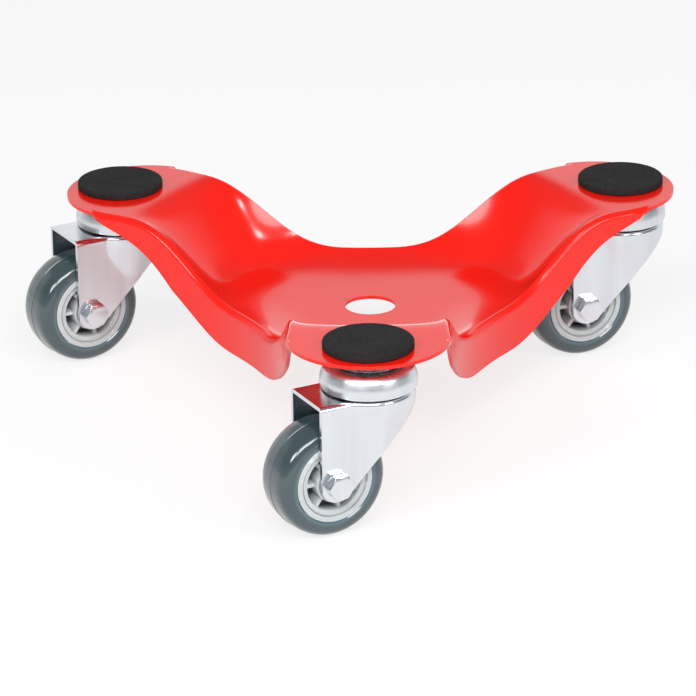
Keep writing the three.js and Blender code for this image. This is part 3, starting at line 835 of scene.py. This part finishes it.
def build_bearing(sizes, wheel, inner):
    """Sealed ball bearing: inner ring, sunk shield and outer ring."""
    bore = sizes.axle + CLEARANCE
    outer = wheel.bearing_radius
    outside = inner + wheel.bearing_width
    sunk = outside - 0.0005
    points = [
        (bore, inner),
        (outer, inner),
        (outer, outside),
        (outer - 0.0012, outside),
        (outer - 0.0013, sunk),
        (bore + 0.0014, sunk),
        (bore + 0.0013, outside),
        (bore, outside),
    ]
    return turned(points, [(2, 0.0003), (7, 0.0003)], steps=64)


def build_tyre(wheel):
    """Crowned solid tyre with round shoulders and one fine mould line round the middle of its tread."""
    inner = WHEEL_RADIUS - wheel.tyre + CLEARANCE
    side = wheel.width / 2
    tread = wheel.tread / 2
    line = 0.00022
    upper = [
        (WHEEL_RADIUS, 0),
        (WHEEL_RADIUS - 0.00002, line * 0.8),
        (WHEEL_RADIUS - line, line * 1.5),
        (WHEEL_RADIUS - line - 0.0001, tread * 0.5),
        (WHEEL_RADIUS - 0.0006, tread),
        (WHEEL_RADIUS - 0.0017, side - 0.0027),
        (WHEEL_RADIUS - 0.0036, side - 0.0010),
        (WHEEL_RADIUS - 0.0062, side - 0.0001),
        (inner + 0.0006, side),
        (inner, side - 0.0005),
    ]
    lower = [(radius, -z) for radius, z in reversed(upper[1:])]
    points = lower + upper
    last = len(points)
    rounds = []
    for from_end, amount in ((6, 0.0020), (5, 0.0015), (4, 0.0012), (3, 0.0010)):
        rounds += [(last - from_end, amount), (from_end - 1, amount)]
    return turned(points, rounds, steps=160)


def build_hub(wheel):
    """Moulded hub: boss, web, stepped rim and ribs on both sides."""
    face = wheel.width / 2
    seat = wheel.bearing_radius + CLEARANCE
    seat_end = face - SLEEVE_SHORT - wheel.bearing_width
    bore = SLEEVE_RADIUS + CLEARANCE
    rim = WHEEL_RADIUS - wheel.tyre
    inside = rim - wheel.rim_wall
    half = [
        (bore, seat_end),
        (seat, seat_end),
        (seat, face),
        (wheel.boss_radius, face),
        (wheel.boss_radius + 0.0002, wheel.web / 2),
        (inside, wheel.web / 2),
        (inside + 0.0003, face - 0.0017),
        (inside + 0.0006, face - 0.0012),
        (inside + 0.0029, face - 0.0009),
        (inside + 0.0031, face - 0.0018),
        (inside + 0.0036, face - 0.0018),
        (inside + 0.0038, face),
        (rim - 0.0002, face),
        (rim, face - 0.0002),
    ]
    mirror = [(radius, -z) for radius, z in reversed(half)]
    body = turned(half + mirror, [(3, 0.0004), (24, 0.0004)], steps=128)
    parts = [body]
    reach = inside - wheel.boss_radius + 0.0012
    deep = face - wheel.rib_inset
    for i in range(wheel.ribs):
        rib = bmesh.new()
        bmesh.ops.create_cube(rib, size=1.0)
        bmesh.ops.scale(rib, vec=(reach, wheel.rib, 2 * deep), verts=rib.verts)
        for vert in rib.verts:
            if abs(vert.co.z) > deep / 2:
                vert.co.y *= 0.72
        whole = rib.verts[:] + rib.edges[:] + rib.faces[:]
        bmesh.ops.bisect_plane(rib, geom=whole, plane_co=(0, 0, 0), plane_no=(0, 0, 1))
        for vert in rib.verts:
            if abs(vert.co.z) < SAME_PLACE:
                vert.co.y = math.copysign(wheel.rib * 0.62, vert.co.y)
        place = Matrix.Rotation(TURN * i / wheel.ribs, 4, "Z") @ Matrix.Translation(
            ((inside + wheel.boss_radius) / 2, 0, 0)
        )
        parts.append(moved(rib, place))
    hub = joined(*parts)
    # Painted shade: the depth attribute is 1 deep between the ribs and 0 near the hub's faces, and the finish
    # darkens the plastic by it where shade falls in the hollows.
    painted_shade_layer = hub.verts.layers.float.new("depth")
    for vert in hub.verts:
        reach = math.hypot(vert.co.x, vert.co.y)
        if wheel.boss_radius < reach < inside + 0.0005:
            vert[painted_shade_layer] = 1 - smooth(abs(vert.co.z), face - 0.0075, face - 0.0020)
    return hub


# ---- finishes --------------------------------------------------------------------------------------------


def add_node(tree, kind, **values):
    """A shader node with its settings and sockets set by name; a socket given as a value is linked."""
    node = tree.nodes.new(kind)
    for key, value in values.items():
        if key in node.bl_rna.properties and key not in node.inputs:
            setattr(node, key, value)
            continue
        name = key.replace("_", " ")
        socket = next(s for s in node.inputs if s.name == name and s.enabled)
        if isinstance(value, bpy.types.NodeSocket):
            tree.links.new(value, socket)
        else:
            socket.default_value = value
    return node


def make_group(name, inputs, outputs):
    """A shader node group with named float, colour or vector sockets, its input node and its output node."""
    tree = bpy.data.node_groups.new(name, "ShaderNodeTree")
    for label, kind, default in inputs:
        socket = tree.interface.new_socket(name=label, in_out="INPUT", socket_type=kind)
        if default is not None:
            socket.default_value = default
    for label, kind in outputs:
        tree.interface.new_socket(name=label, in_out="OUTPUT", socket_type=kind)
    return tree, tree.nodes.new("NodeGroupInput"), tree.nodes.new("NodeGroupOutput")


FLOAT = "NodeSocketFloat"
VECTOR = "NodeSocketVector"
COLOUR = "NodeSocketColor"


def noise_group(name, scale, detail, stretch=None):
    """Random noise, stretched if asked: a value between two limits, and a height."""
    tree, start, end = make_group(
        name,
        [
            ("Vector", VECTOR, None),
            ("Scale", FLOAT, scale),
            ("Detail", FLOAT, detail),
            ("Low", FLOAT, 0.0),
            ("High", FLOAT, 1.0),
        ],
        [("Value", FLOAT), ("Height", FLOAT)],
    )
    where = start.outputs["Vector"]
    if stretch:
        where = add_node(tree, "ShaderNodeMapping", Vector=where, Scale=stretch).outputs["Vector"]
    scale, detail = start.outputs["Scale"], start.outputs["Detail"]
    cloud = add_node(tree, "ShaderNodeTexNoise", Vector=where, Scale=scale, Detail=detail)
    spread = add_node(tree, "ShaderNodeMapRange", Value=cloud.outputs["Fac"], From_Min=0.3, From_Max=0.7)
    tree.links.new(start.outputs["Low"], spread.inputs["To Min"])
    tree.links.new(start.outputs["High"], spread.inputs["To Max"])
    tree.links.new(spread.outputs["Result"], end.inputs["Value"])
    tree.links.new(cloud.outputs["Fac"], end.inputs["Height"])
    return tree


def grain_group():
    """Even random grain."""
    return noise_group("surface_grain", 400.0, 3.0)


def streak_group():
    """Fine parallel streaks from drawing or rolling."""
    return noise_group("rolled_streaks", 60.0, 4.0, stretch=(9.0, 9.0, 0.6))


def tint_group():
    """A base colour that drifts slowly between two tints."""
    tree, start, end = make_group(
        "slow_tint",
        [("Vector", VECTOR, None), ("Scale", FLOAT, 25.0), ("First", COLOUR, None), ("Second", COLOUR, None)],
        [("Color", COLOUR)],
    )
    where, scale = start.outputs["Vector"], start.outputs["Scale"]
    cloud = add_node(tree, "ShaderNodeTexNoise", Vector=where, Scale=scale, Detail=2.0)
    spread = add_node(tree, "ShaderNodeMapRange", Value=cloud.outputs["Fac"], From_Min=0.35, From_Max=0.65)
    blend = tree.nodes.new("ShaderNodeMix")
    blend.data_type = "RGBA"
    tree.links.new(spread.outputs["Result"], blend.inputs[0])
    tree.links.new(start.outputs["First"], blend.inputs[6])
    tree.links.new(start.outputs["Second"], blend.inputs[7])
    tree.links.new(blend.outputs[2], end.inputs["Color"])
    return tree


def edge_group():
    """Mask of the outward edges, where a finish is thin or rubbed."""
    limits = [("Low", FLOAT, 0.52), ("High", FLOAT, 0.60)]
    tree, start, end = make_group("edge_wear", limits, [("Mask", FLOAT)])
    shape = tree.nodes.new("ShaderNodeNewGeometry")
    spread = add_node(tree, "ShaderNodeMapRange", Value=shape.outputs["Pointiness"])
    tree.links.new(start.outputs["Low"], spread.inputs["From Min"])
    tree.links.new(start.outputs["High"], spread.inputs["From Max"])
    tree.links.new(spread.outputs["Result"], end.inputs["Mask"])
    return tree


def use_group(tree, maker, **values):
    """Places a node group, built the first time that it is asked for."""
    names = {
        grain_group: "surface_grain",
        tint_group: "slow_tint",
        edge_group: "edge_wear",
        streak_group: "rolled_streaks",
    }
    group = bpy.data.node_groups.get(names[maker]) or maker()
    node = tree.nodes.new("ShaderNodeGroup")
    node.node_tree = group
    for key, value in values.items():
        socket = node.inputs[key]
        if isinstance(value, bpy.types.NodeSocket):
            tree.links.new(value, socket)
        else:
            socket.default_value = value
    return node


def combine(tree, operation, first, second):
    """The output of a maths node; either value may be a socket."""
    node = add_node(tree, "ShaderNodeMath", operation=operation)
    for socket, value in zip(node.inputs, (first, second)):
        if isinstance(value, bpy.types.NodeSocket):
            tree.links.new(value, socket)
        else:
            socket.default_value = value
    return node.outputs[0]


def fade(tree, value, start, end, top=1.0):
    """A smooth change from 0 at start to top at end."""
    node = add_node(tree, "ShaderNodeMapRange", Value=value, From_Min=start, From_Max=end, To_Max=top)
    node.interpolation_type = "SMOOTHSTEP"
    return node.outputs["Result"]


def blend_colours(tree, mask, first, second):
    """Mixes two colours by a mask; either may be a socket."""
    node = tree.nodes.new("ShaderNodeMix")
    node.data_type = "RGBA"
    tree.links.new(mask, node.inputs[0])
    for slot, value in ((6, first), (7, second)):
        if isinstance(value, bpy.types.NodeSocket):
            tree.links.new(value, node.inputs[slot])
        else:
            node.inputs[slot].default_value = value
    return node.outputs[2]


def rgba(colour, gain=(1, 1, 1)):
    return tuple(min(1.0, c * g) for c, g in zip(colour, gain)) + (1.0,)


def drift(tree, where, scale, colour, second, first=(1, 1, 1)):
    """A colour that drifts between two gains of itself."""
    tints = {"First": rgba(colour, first), "Second": rgba(colour, second)}
    return use_group(tree, tint_group, Vector=where, Scale=scale, **tints)


def new_finish(name, **shader):
    """A material, its tree, its Principled shader and the object's own coordinates."""
    finish = bpy.data.materials.new(name)
    finish.use_nodes = True
    tree = finish.node_tree
    tree.nodes.clear()
    principled = tree.nodes.new("ShaderNodeBsdfPrincipled")
    out = tree.nodes.new("ShaderNodeOutputMaterial")
    tree.links.new(principled.outputs["BSDF"], out.inputs["Surface"])
    for key, value in shader.items():
        principled.inputs[key.replace("_", " ")].default_value = value
    where = tree.nodes.new("ShaderNodeTexCoord").outputs["Object"]
    return finish, tree, principled, where


def roughness(tree, shader, maker, where, **values):
    """Feeds the shader's roughness from a node group, and returns the group's node."""
    node = use_group(tree, maker, Vector=where, **values)
    tree.links.new(node.outputs["Value"], shader.inputs["Roughness"])
    return node


def paint(tree, shader, colour):
    tree.links.new(colour, shader.inputs["Base Color"])


def bump(tree, principled, height, strength, distance, below=None):
    """Feeds a height into the shader's normal, over another bump if there is one."""
    node = add_node(tree, "ShaderNodeBump", Height=height, Strength=strength, Distance=distance)
    if below:
        tree.links.new(below.outputs["Normal"], node.inputs["Normal"])
    tree.links.new(node.outputs["Normal"], principled.inputs["Normal"])
    return node


def enamel_finish(colour):
    finish, tree, shader, where = new_finish(
        "gloss_enamel", Coat_Weight=0.15, Coat_Roughness=0.03, Coat_IOR=1.5, Specular_IOR_Level=0.45
    )
    tint = drift(tree, where, 9.0, colour, (0.95, 0.8, 0.8))
    edges = use_group(tree, edge_group, Low=0.53, High=0.62)
    worn = rgba(colour, (0.80, 0.6, 0.6))
    paint(tree, shader, blend_colours(tree, edges.outputs["Mask"], tint.outputs["Color"], worn))
    roughness(tree, shader, grain_group, where, Scale=22.0, Detail=3.0, Low=0.15, High=0.20)
    peel = use_group(tree, grain_group, Vector=where, Scale=140.0, Detail=1.0)
    slow = use_group(tree, grain_group, Vector=where, Scale=28.0, Detail=1.0)
    first = bump(tree, shader, slow.outputs["Height"], 0.05, 0.0008)
    bump(tree, shader, peel.outputs["Height"], 0.03, 0.0002, first)
    return finish


def zinc_finish(colour, name="bright_zinc", smooth_end=0.17, dull_end=0.22):
    finish, tree, shader, where = new_finish(name, Metallic=1.0)
    tint = drift(tree, where, 26.0, colour, (1.03, 0.98, 1.02), (0.97, 1.0, 1.02))
    cells = add_node(tree, "ShaderNodeTexVoronoi", Vector=where, Scale=700.0)
    fine = add_node(tree, "ShaderNodeMapRange", Value=cells.outputs["Distance"], To_Min=0.0, To_Max=0.15)
    dull = rgba(colour, (0.88, 0.90, 0.92))
    shade = blend_colours(tree, fine.outputs["Result"], tint.outputs["Color"], dull)
    # Lighter vertical bands in the colour: partly streaks in the plating, partly a painted reflection, like
    # the bands a curved fork crown shows.
    streak_and_sheen_bands = use_group(tree, streak_group, Vector=where, Scale=12.0)
    shade = blend_colours(tree, streak_and_sheen_bands.outputs["Value"], shade, rgba(colour, (1.10, 1.10, 1.10)))
    paint(tree, shader, shade)
    roughness(tree, shader, streak_group, where, Scale=24.0, Low=smooth_end, High=dull_end)
    grain = use_group(tree, grain_group, Vector=where, Scale=900.0, Detail=2.0)
    wave = use_group(tree, grain_group, Vector=where, Scale=70.0, Detail=1.0)
    first = bump(tree, shader, wave.outputs["Height"], 0.05, 0.0006)
    bump(tree, shader, grain.outputs["Height"], 0.04, 0.0001, first)
    return finish


def drawn_zinc_finish(colour):
    return zinc_finish(colour, "drawn_zinc", 0.26, 0.36)


def dark_finish(colour):
    finish, tree, shader, where = new_finish("blackened_steel", Metallic=0.9)
    edges = use_group(tree, edge_group, Low=0.50, High=0.58)
    tint = drift(tree, where, 420.0, colour, (5.0, 5.0, 4.8))
    shade = blend_colours(tree, edges.outputs["Mask"], tint.outputs["Color"], (0.65, 0.67, 0.70, 1))
    paint(tree, shader, shade)
    rough = roughness(tree, shader, grain_group, where, Scale=900.0, Detail=2.0, Low=0.12, High=0.40)
    bump(tree, shader, rough.outputs["Height"], 0.6, 0.0006)
    return finish


def plastic_finish(colour):
    finish, tree, shader, where = new_finish("hub_plastic", Specular_IOR_Level=0.45)
    tint = drift(tree, where, 60.0, colour, (0.93, 0.94, 0.95))
    edges = use_group(tree, edge_group, Low=0.51, High=0.60)
    rubbed = rgba(colour, (1.25, 1.25, 1.25))
    shade = blend_colours(tree, edges.outputs["Mask"], tint.outputs["Color"], rubbed)
    # Painted shade: deep between the ribs the plastic turns dark brown-grey, standing in for the shade in the
    # hub's hollows.
    depth = add_node(tree, "ShaderNodeAttribute", attribute_name="depth")
    painted_shade_share = combine(tree, "MULTIPLY", depth.outputs["Fac"], 0.86)
    shade = blend_colours(tree, painted_shade_share, shade, rgba(colour, (0.17, 0.15, 0.145)))
    paint(tree, shader, shade)
    rough = roughness(tree, shader, grain_group, where, Scale=500.0, Detail=2.0, Low=0.34, High=0.48)
    bump(tree, shader, rough.outputs["Height"], 0.15, 0.0003)
    return finish


def urethane_finish(colour):
    finish, tree, shader, where = new_finish(
        "tyre_urethane", Coat_Weight=1.0, Coat_Roughness=0.06, Coat_IOR=1.55, Specular_IOR_Level=0.5
    )
    tint = drift(tree, where, 30.0, colour, (1.15, 1.10, 1.02))
    edges = use_group(tree, edge_group, Low=0.51, High=0.56)
    shade = blend_colours(tree, edges.outputs["Mask"], tint.outputs["Color"], rgba(colour, (2.6, 2.6, 2.6)))
    paint(tree, shader, shade)
    roughness(tree, shader, grain_group, where, Scale=120.0, Detail=4.0, Low=0.12, High=0.24)
    wave = use_group(tree, grain_group, Vector=where, Scale=45.0, Detail=1.0)
    fine = use_group(tree, grain_group, Vector=where, Scale=1400.0, Detail=2.0)
    first = bump(tree, shader, wave.outputs["Height"], 0.08, 0.0005)
    bump(tree, shader, fine.outputs["Height"], 0.03, 0.0001, first)
    return finish


def foam_finish(colour):
    finish, tree, shader, where = new_finish("closed_cell_foam", Specular_IOR_Level=0.25)
    cells = add_node(tree, "ShaderNodeTexVoronoi", Vector=where, Scale=1500.0)
    tint = drift(tree, where, 1100.0, colour, (1.6, 1.6, 1.6), (0.7, 0.7, 0.7))
    paint(tree, shader, tint.outputs["Color"])
    roughness(tree, shader, grain_group, where, Scale=70.0, Detail=4.0, Low=0.82, High=0.98)
    first = bump(tree, shader, cells.outputs["Distance"], 0.30, 0.0002)
    bump(tree, shader, tint.outputs["Color"], 0.25, 0.0002, first)
    return finish


def floor_finish(colour):
    """Pale floor that looks evenly lit: seen directly or mirrored it is partly white light of its own."""
    finish, tree, shader, where = new_finish("studio_floor", Specular_IOR_Level=0.0)
    tint = drift(tree, where, 3.0, colour, (0.99, 0.99, 1.0))
    paint(tree, shader, tint.outputs["Color"])
    roughness(tree, shader, grain_group, where, Scale=40.0, Detail=3.0, Low=0.6, High=0.75)
    path = tree.nodes.new("ShaderNodeLightPath")
    direct = combine(tree, "MULTIPLY", path.outputs["Is Camera Ray"], 0.75)
    mirrored = combine(tree, "MULTIPLY", path.outputs["Is Glossy Ray"], 0.35)
    share = combine(tree, "MAXIMUM", direct, mirrored)
    glow = add_node(tree, "ShaderNodeEmission", Color=(1.0, 1.0, 1.0, 1.0), Strength=1.05)
    blend = tree.nodes.new("ShaderNodeMixShader")
    tree.links.new(share, blend.inputs[0])
    tree.links.new(shader.outputs["BSDF"], blend.inputs[1])
    tree.links.new(glow.outputs["Emission"], blend.inputs[2])
    out = next(node for node in tree.nodes if node.type == "OUTPUT_MATERIAL")
    tree.links.new(blend.outputs["Shader"], out.inputs["Surface"])
    return finish


FINISHES = {
    "deck_paint": ("enamel", enamel_finish),
    "pad_foam": ("foam", foam_finish),
    "zinc": ("zinc", zinc_finish),
    "drawn_zinc": ("zinc", drawn_zinc_finish),
    "dark_steel": ("dark", dark_finish),
    "hub_plastic": ("plastic", plastic_finish),
    "tyre_urethane": ("urethane", urethane_finish),
}
made_finishes = {}


def finish_of(slot):
    """The finish of a material slot, made once."""
    if slot not in made_finishes:
        name, maker = FINISHES[slot]
        made_finishes[slot] = maker(getattr(bpy.context.scene.dolly_colours, name))
    return made_finishes[slot]


def add_piece(name, bm, body, node, slot, finish=None, **shading):
    return finish_piece(name, bm, body, node, slot, finish_of(finish or slot), **shading)


def add_three(made, place, body):
    """Puts a copy of each piece on each arm. A piece is its mesh, slot, edge and any finish of its own."""
    for arm in ARMS:
        for kind, (bm, slot, edge, *finish) in made.items():
            name, node = f"{kind}_piece_{arm}", f"{kind}_{arm}"
            add_piece(name, copied(bm, place(arm)), body.format(arm), node, slot, *finish, edge=edge)
    for bm, *_ in made.values():
        bm.free()


# ---- operators -------------------------------------------------------------------------------------------

STUDIO_AIM = (0.0011, -0.0019, 0.05)
FLOOR_REACH = 4.0
# name, shape, place, size and power in watts
STUDIO_LIGHTS = (
    ("overhead", "RECTANGLE", (0.0, -2.1, 1.9), (2.0, 1.0), 54),
    ("spark", "DISK", (0.69, -0.92, 1.98), (0.26, 0.26), 4.5),
    ("key", "DISK", (-1.6, -1.9, 1.7), (0.9, 0.9), 20),
    ("fill", "DISK", (1.9, -1.5, 1.3), (0.8, 0.8), 12),
    ("back_strip", "RECTANGLE", (0.0, 2.4, 0.20), (3.0, 0.20), 3),
)


class DOLLY_OT_stage(bpy.types.Operator):
    """Set up the floor, the lights and the camera"""

    bl_idname = "dolly.stage"
    bl_label = "Stage"

    def execute(self, context):
        scene = context.scene
        stage = scene.dolly_stage
        scene.view_settings.view_transform = "Standard"
        self.add_floor(scene)
        self.add_world(scene)
        aim = Vector(STUDIO_AIM)
        for name, shape, place, size, power in STUDIO_LIGHTS:
            self.add_light(scene, name, shape, Vector(place), size, power, aim)
        self.add_camera(scene, stage, aim)
        return {"FINISHED"}

    def add_floor(self, scene):
        bm = bmesh.new()
        bmesh.ops.create_grid(bm, x_segments=8, y_segments=8, size=FLOOR_REACH)
        mesh = bpy.data.meshes.new("studio_floor")
        bm.to_mesh(mesh)
        bm.free()
        mesh.materials.append(floor_finish(scene.dolly_colours.floor))
        floor = bpy.data.objects.new("studio_floor", mesh)
        scene.collection.objects.link(floor)

    def add_world(self, scene):
        """A dim studio with a broad white window behind the dolly, for the gloss to reflect."""
        world = bpy.data.worlds.new("studio")
        world.use_nodes = True
        tree = world.node_tree
        where = tree.nodes.new("ShaderNodeTexCoord")
        split = tree.nodes.new("ShaderNodeSeparateXYZ")
        tree.links.new(where.outputs["Generated"], split.inputs["Vector"])
        ramp = tree.nodes.new("ShaderNodeValToRGB")
        ramp.color_ramp.elements[0].position = 0.0
        ramp.color_ramp.elements[0].color = (0.55, 0.55, 0.56, 1)
        ramp.color_ramp.elements[1].position = 0.30
        ramp.color_ramp.elements[1].color = (0.22, 0.22, 0.23, 1)
        tree.links.new(split.outputs["Z"], ramp.inputs["Fac"])
        window = fade(tree, split.outputs["Y"], 0.80, 0.96)
        low = fade(tree, split.outputs["Z"], 0.56, 0.40)
        behind = fade(tree, split.outputs["Y"], 0.30, 0.60, top=0.85)
        pale = combine(tree, "MAXIMUM", window, combine(tree, "MULTIPLY", low, behind))
        light = blend_colours(tree, pale, ramp.outputs["Color"], (1.0, 1.0, 1.0, 1))
        background = tree.nodes["Background"]
        tree.links.new(light, background.inputs["Color"])
        background.inputs["Strength"].default_value = 1.0
        scene.world = world

    def add_light(self, scene, name, shape, place, size, power, target):
        light = bpy.data.lights.new(name, "AREA")
        light.shape = shape
        light.size = size[0]
        if shape == "RECTANGLE":
            light.size_y = size[1]
        light.energy = power
        lamp = bpy.data.objects.new(name, light)
        lamp.location = place
        lamp.rotation_euler = (target - place).to_track_quat("-Z", "Y").to_euler()
        scene.collection.objects.link(lamp)

    def add_camera(self, scene, stage, aim):
        camera = bpy.data.cameras.new("camera")
        camera.lens = stage.lens
        camera.sensor_width = 36
        camera.clip_start = 0.05
        eye = bpy.data.objects.new("camera", camera)
        flat, turn = math.cos(stage.camera_height), stage.camera_turn
        back = Vector((flat * math.sin(turn), -flat * math.cos(turn), math.sin(stage.camera_height)))
        sight = (-back).to_track_quat("-Z", "Y").to_matrix().to_4x4()
        roll = Matrix.Rotation(stage.camera_roll, 4, "Z")
        eye.matrix_world = Matrix.Translation(aim + back * stage.camera_reach) @ sight @ roll
        scene.collection.objects.link(eye)
        scene.camera = eye


class DOLLY_OT_deck(bpy.types.Operator):
    """Press the deck from one sheet: sunk middle, three arms, curved rim and flange"""

    bl_idname = "dolly.deck"
    bl_label = "Deck"

    def execute(self, context):
        sizes = context.scene.dolly_deck
        bm = build_deck(sizes)
        walls = {"wall": sizes.sheet, "edge": 0.0004, "edge_angle": 55}
        add_piece("pressed_deck", bm, "deck", "deck", "deck_paint", **walls)
        return {"FINISHED"}


class DOLLY_OT_pads(bpy.types.Operator):
    """Cut the three foam pads"""

    bl_idname = "dolly.pads"
    bl_label = "Foam pads"

    def execute(self, context):
        low, high = ends_of("pad_front")
        head = high_of("kingpin_front") + CLEARANCE
        for arm in ARMS:
            place = Matrix.Translation((SWIVEL[arm].x, SWIVEL[arm].y, 0))
            bm = moved(build_pad(low, high, KINGPIN_POCKET, head), place)
            pad = add_piece(f"foam_pad_{arm}", bm, "deck", f"pad_{arm}", "pad_foam", soft=60)
        return {"FINISHED"}


class DOLLY_OT_swivels(bpy.types.Operator):
    """Make the pieces clamped to each arm end: kingpin, spacer, race cup, balls, lower race and nut"""

    bl_idname = "dolly.swivels"
    bl_label = "Swivel bearings"

    def execute(self, context):
        sizes = context.scene.dolly_caster
        tail, head = ends_of("kingpin_front")
        made = {
            "kingpin": (build_kingpin(sizes, ARM_TOP + CLEARANCE, head, tail), "zinc", 0.0),
            "spacer": (build_spacer(sizes, *ends_of("spacer_front")), "dark_steel", 0.0),
            "race_cup": (build_cup(sizes, *ends_of("race_cup_front")), "zinc", 0.0, "drawn_zinc"),
            "ball_retainer": (build_balls(sizes), "zinc", 0.0),
            "lower_race": (build_lower_race(sizes, *ends_of("lower_race_front")), "zinc", 0.0003),
            "kingpin_nut": (self.kingpin_nut(sizes, high_of("kingpin_nut_front")), "zinc", 0.0002),
        }
        add_three(made, on_swivel, "deck")
        return {"FINISHED"}

    def kingpin_nut(self, sizes, seat):
        """Lock nut that stands on the lower race and points down."""
        bm = hex_head(M10_FLATS, M10_NUT, 0.0, bore=sizes.kingpin + CLEARANCE, collar=NUT_COLLAR)
        return moved(bm, Matrix.Translation((0, 0, seat)) @ Matrix.Rotation(math.pi, 4, "X"))


class DOLLY_OT_forks(bpy.types.Operator):
    """Press the three caster forks"""

    bl_idname = "dolly.forks"
    bl_label = "Forks"

    def execute(self, context):
        sizes = context.scene.dolly_caster
        bm = build_fork(sizes)
        walls = {"wall": sizes.sheet, "edge": 0.0003, "edge_angle": 50}
        for arm in ARMS:
            node = f"fork_{arm}"
            add_piece(f"swivel_fork_{arm}", copied(bm, on_swivel(arm)), node, node, "zinc", **walls)
        bm.free()
        return {"FINISHED"}


class DOLLY_OT_axles(bpy.types.Operator):
    """Make each axle's bolt, lock nut and spacer tube"""

    bl_idname = "dolly.axles"
    bl_label = "Axles"

    def execute(self, context):
        sizes = context.scene.dolly_caster
        wheel = context.scene.dolly_wheel
        seat = sizes.leg_outside + CLEARANCE
        end = -(seat + M8_NUT + NUT_COLLAR + THREAD_PAST_NUT)
        nut = hex_head(M8_FLATS, M8_NUT, seat, bore=sizes.axle + CLEARANCE, collar=NUT_COLLAR)
        half = wheel.width / 2 - SLEEVE_SHORT - wheel.bearing_width
        made = {
            "axle_bolt": (build_axle_bolt(sizes, seat, end), "zinc", 0.0002),
            "axle_nut": (moved(nut, Matrix.Rotation(math.pi, 4, "X")), "zinc", 0.0002),
            "axle_sleeve": (build_sleeve(sizes, half), "zinc", 0.0002),
        }
        add_three(made, on_axle, "fork_{}")
        return {"FINISHED"}


class DOLLY_OT_wheels(bpy.types.Operator):
    """Make each wheel: moulded hub, solid tyre and two bearings"""

    bl_idname = "dolly.wheels"
    bl_label = "Wheels"

    def execute(self, context):
        sizes = context.scene.dolly_caster
        wheel = context.scene.dolly_wheel
        inner = wheel.width / 2 - CLEARANCE - wheel.bearing_width
        near = build_bearing(sizes, wheel, inner)
        far = copied(near, Matrix.Rotation(math.pi, 4, "X"))
        made = {
            "wheel_hub": (build_hub(wheel), "hub_plastic", 0.00015),
            "tyre": (build_tyre(wheel), "tyre_urethane", 0.0),
            "bearing_near": (near, "zinc", 0.0),
            "bearing_far": (far, "zinc", 0.0),
        }
        add_three(made, on_axle, "wheel_{}")
        return {"FINISHED"}


class DOLLY_PT_panel(bpy.types.Panel):
    """Buttons that build the dolly piece by piece"""

    bl_idname = "DOLLY_PT_panel"
    bl_label = "Three-wheel dolly"
    bl_space_type = "VIEW_3D"
    bl_region_type = "UI"
    bl_category = "Dolly"

    def draw(self, context):
        for operator in OPERATORS:
            self.layout.operator(operator.bl_idname)


OPERATORS = (
    DOLLY_OT_stage,
    DOLLY_OT_deck,
    DOLLY_OT_pads,
    DOLLY_OT_swivels,
    DOLLY_OT_forks,
    DOLLY_OT_axles,
    DOLLY_OT_wheels,
)
GROUPS = {
    "dolly_deck": DollyDeckSizes,
    "dolly_caster": DollyCasterSizes,
    "dolly_wheel": DollyWheelSizes,
    "dolly_colours": DollyColours,
    "dolly_stage": DollyStage,
}


def register():
    for kind in (*GROUPS.values(), *OPERATORS, DOLLY_PT_panel):
        bpy.utils.register_class(kind)
    for name, group in GROUPS.items():
        setattr(bpy.types.Scene, name, PointerProperty(type=group))


def unregister():
    for name in GROUPS:
        delattr(bpy.types.Scene, name)
    for kind in (DOLLY_PT_panel, *reversed(OPERATORS), *GROUPS.values()):
        bpy.utils.unregister_class(kind)


def main():
    register()
    bpy.ops.dolly.stage()
    bpy.ops.dolly.deck()
    bpy.ops.dolly.pads()
    bpy.ops.dolly.swivels()
    bpy.ops.dolly.forks()
    bpy.ops.dolly.axles()
    bpy.ops.dolly.wheels()


if __name__ == "__main__":
    main()
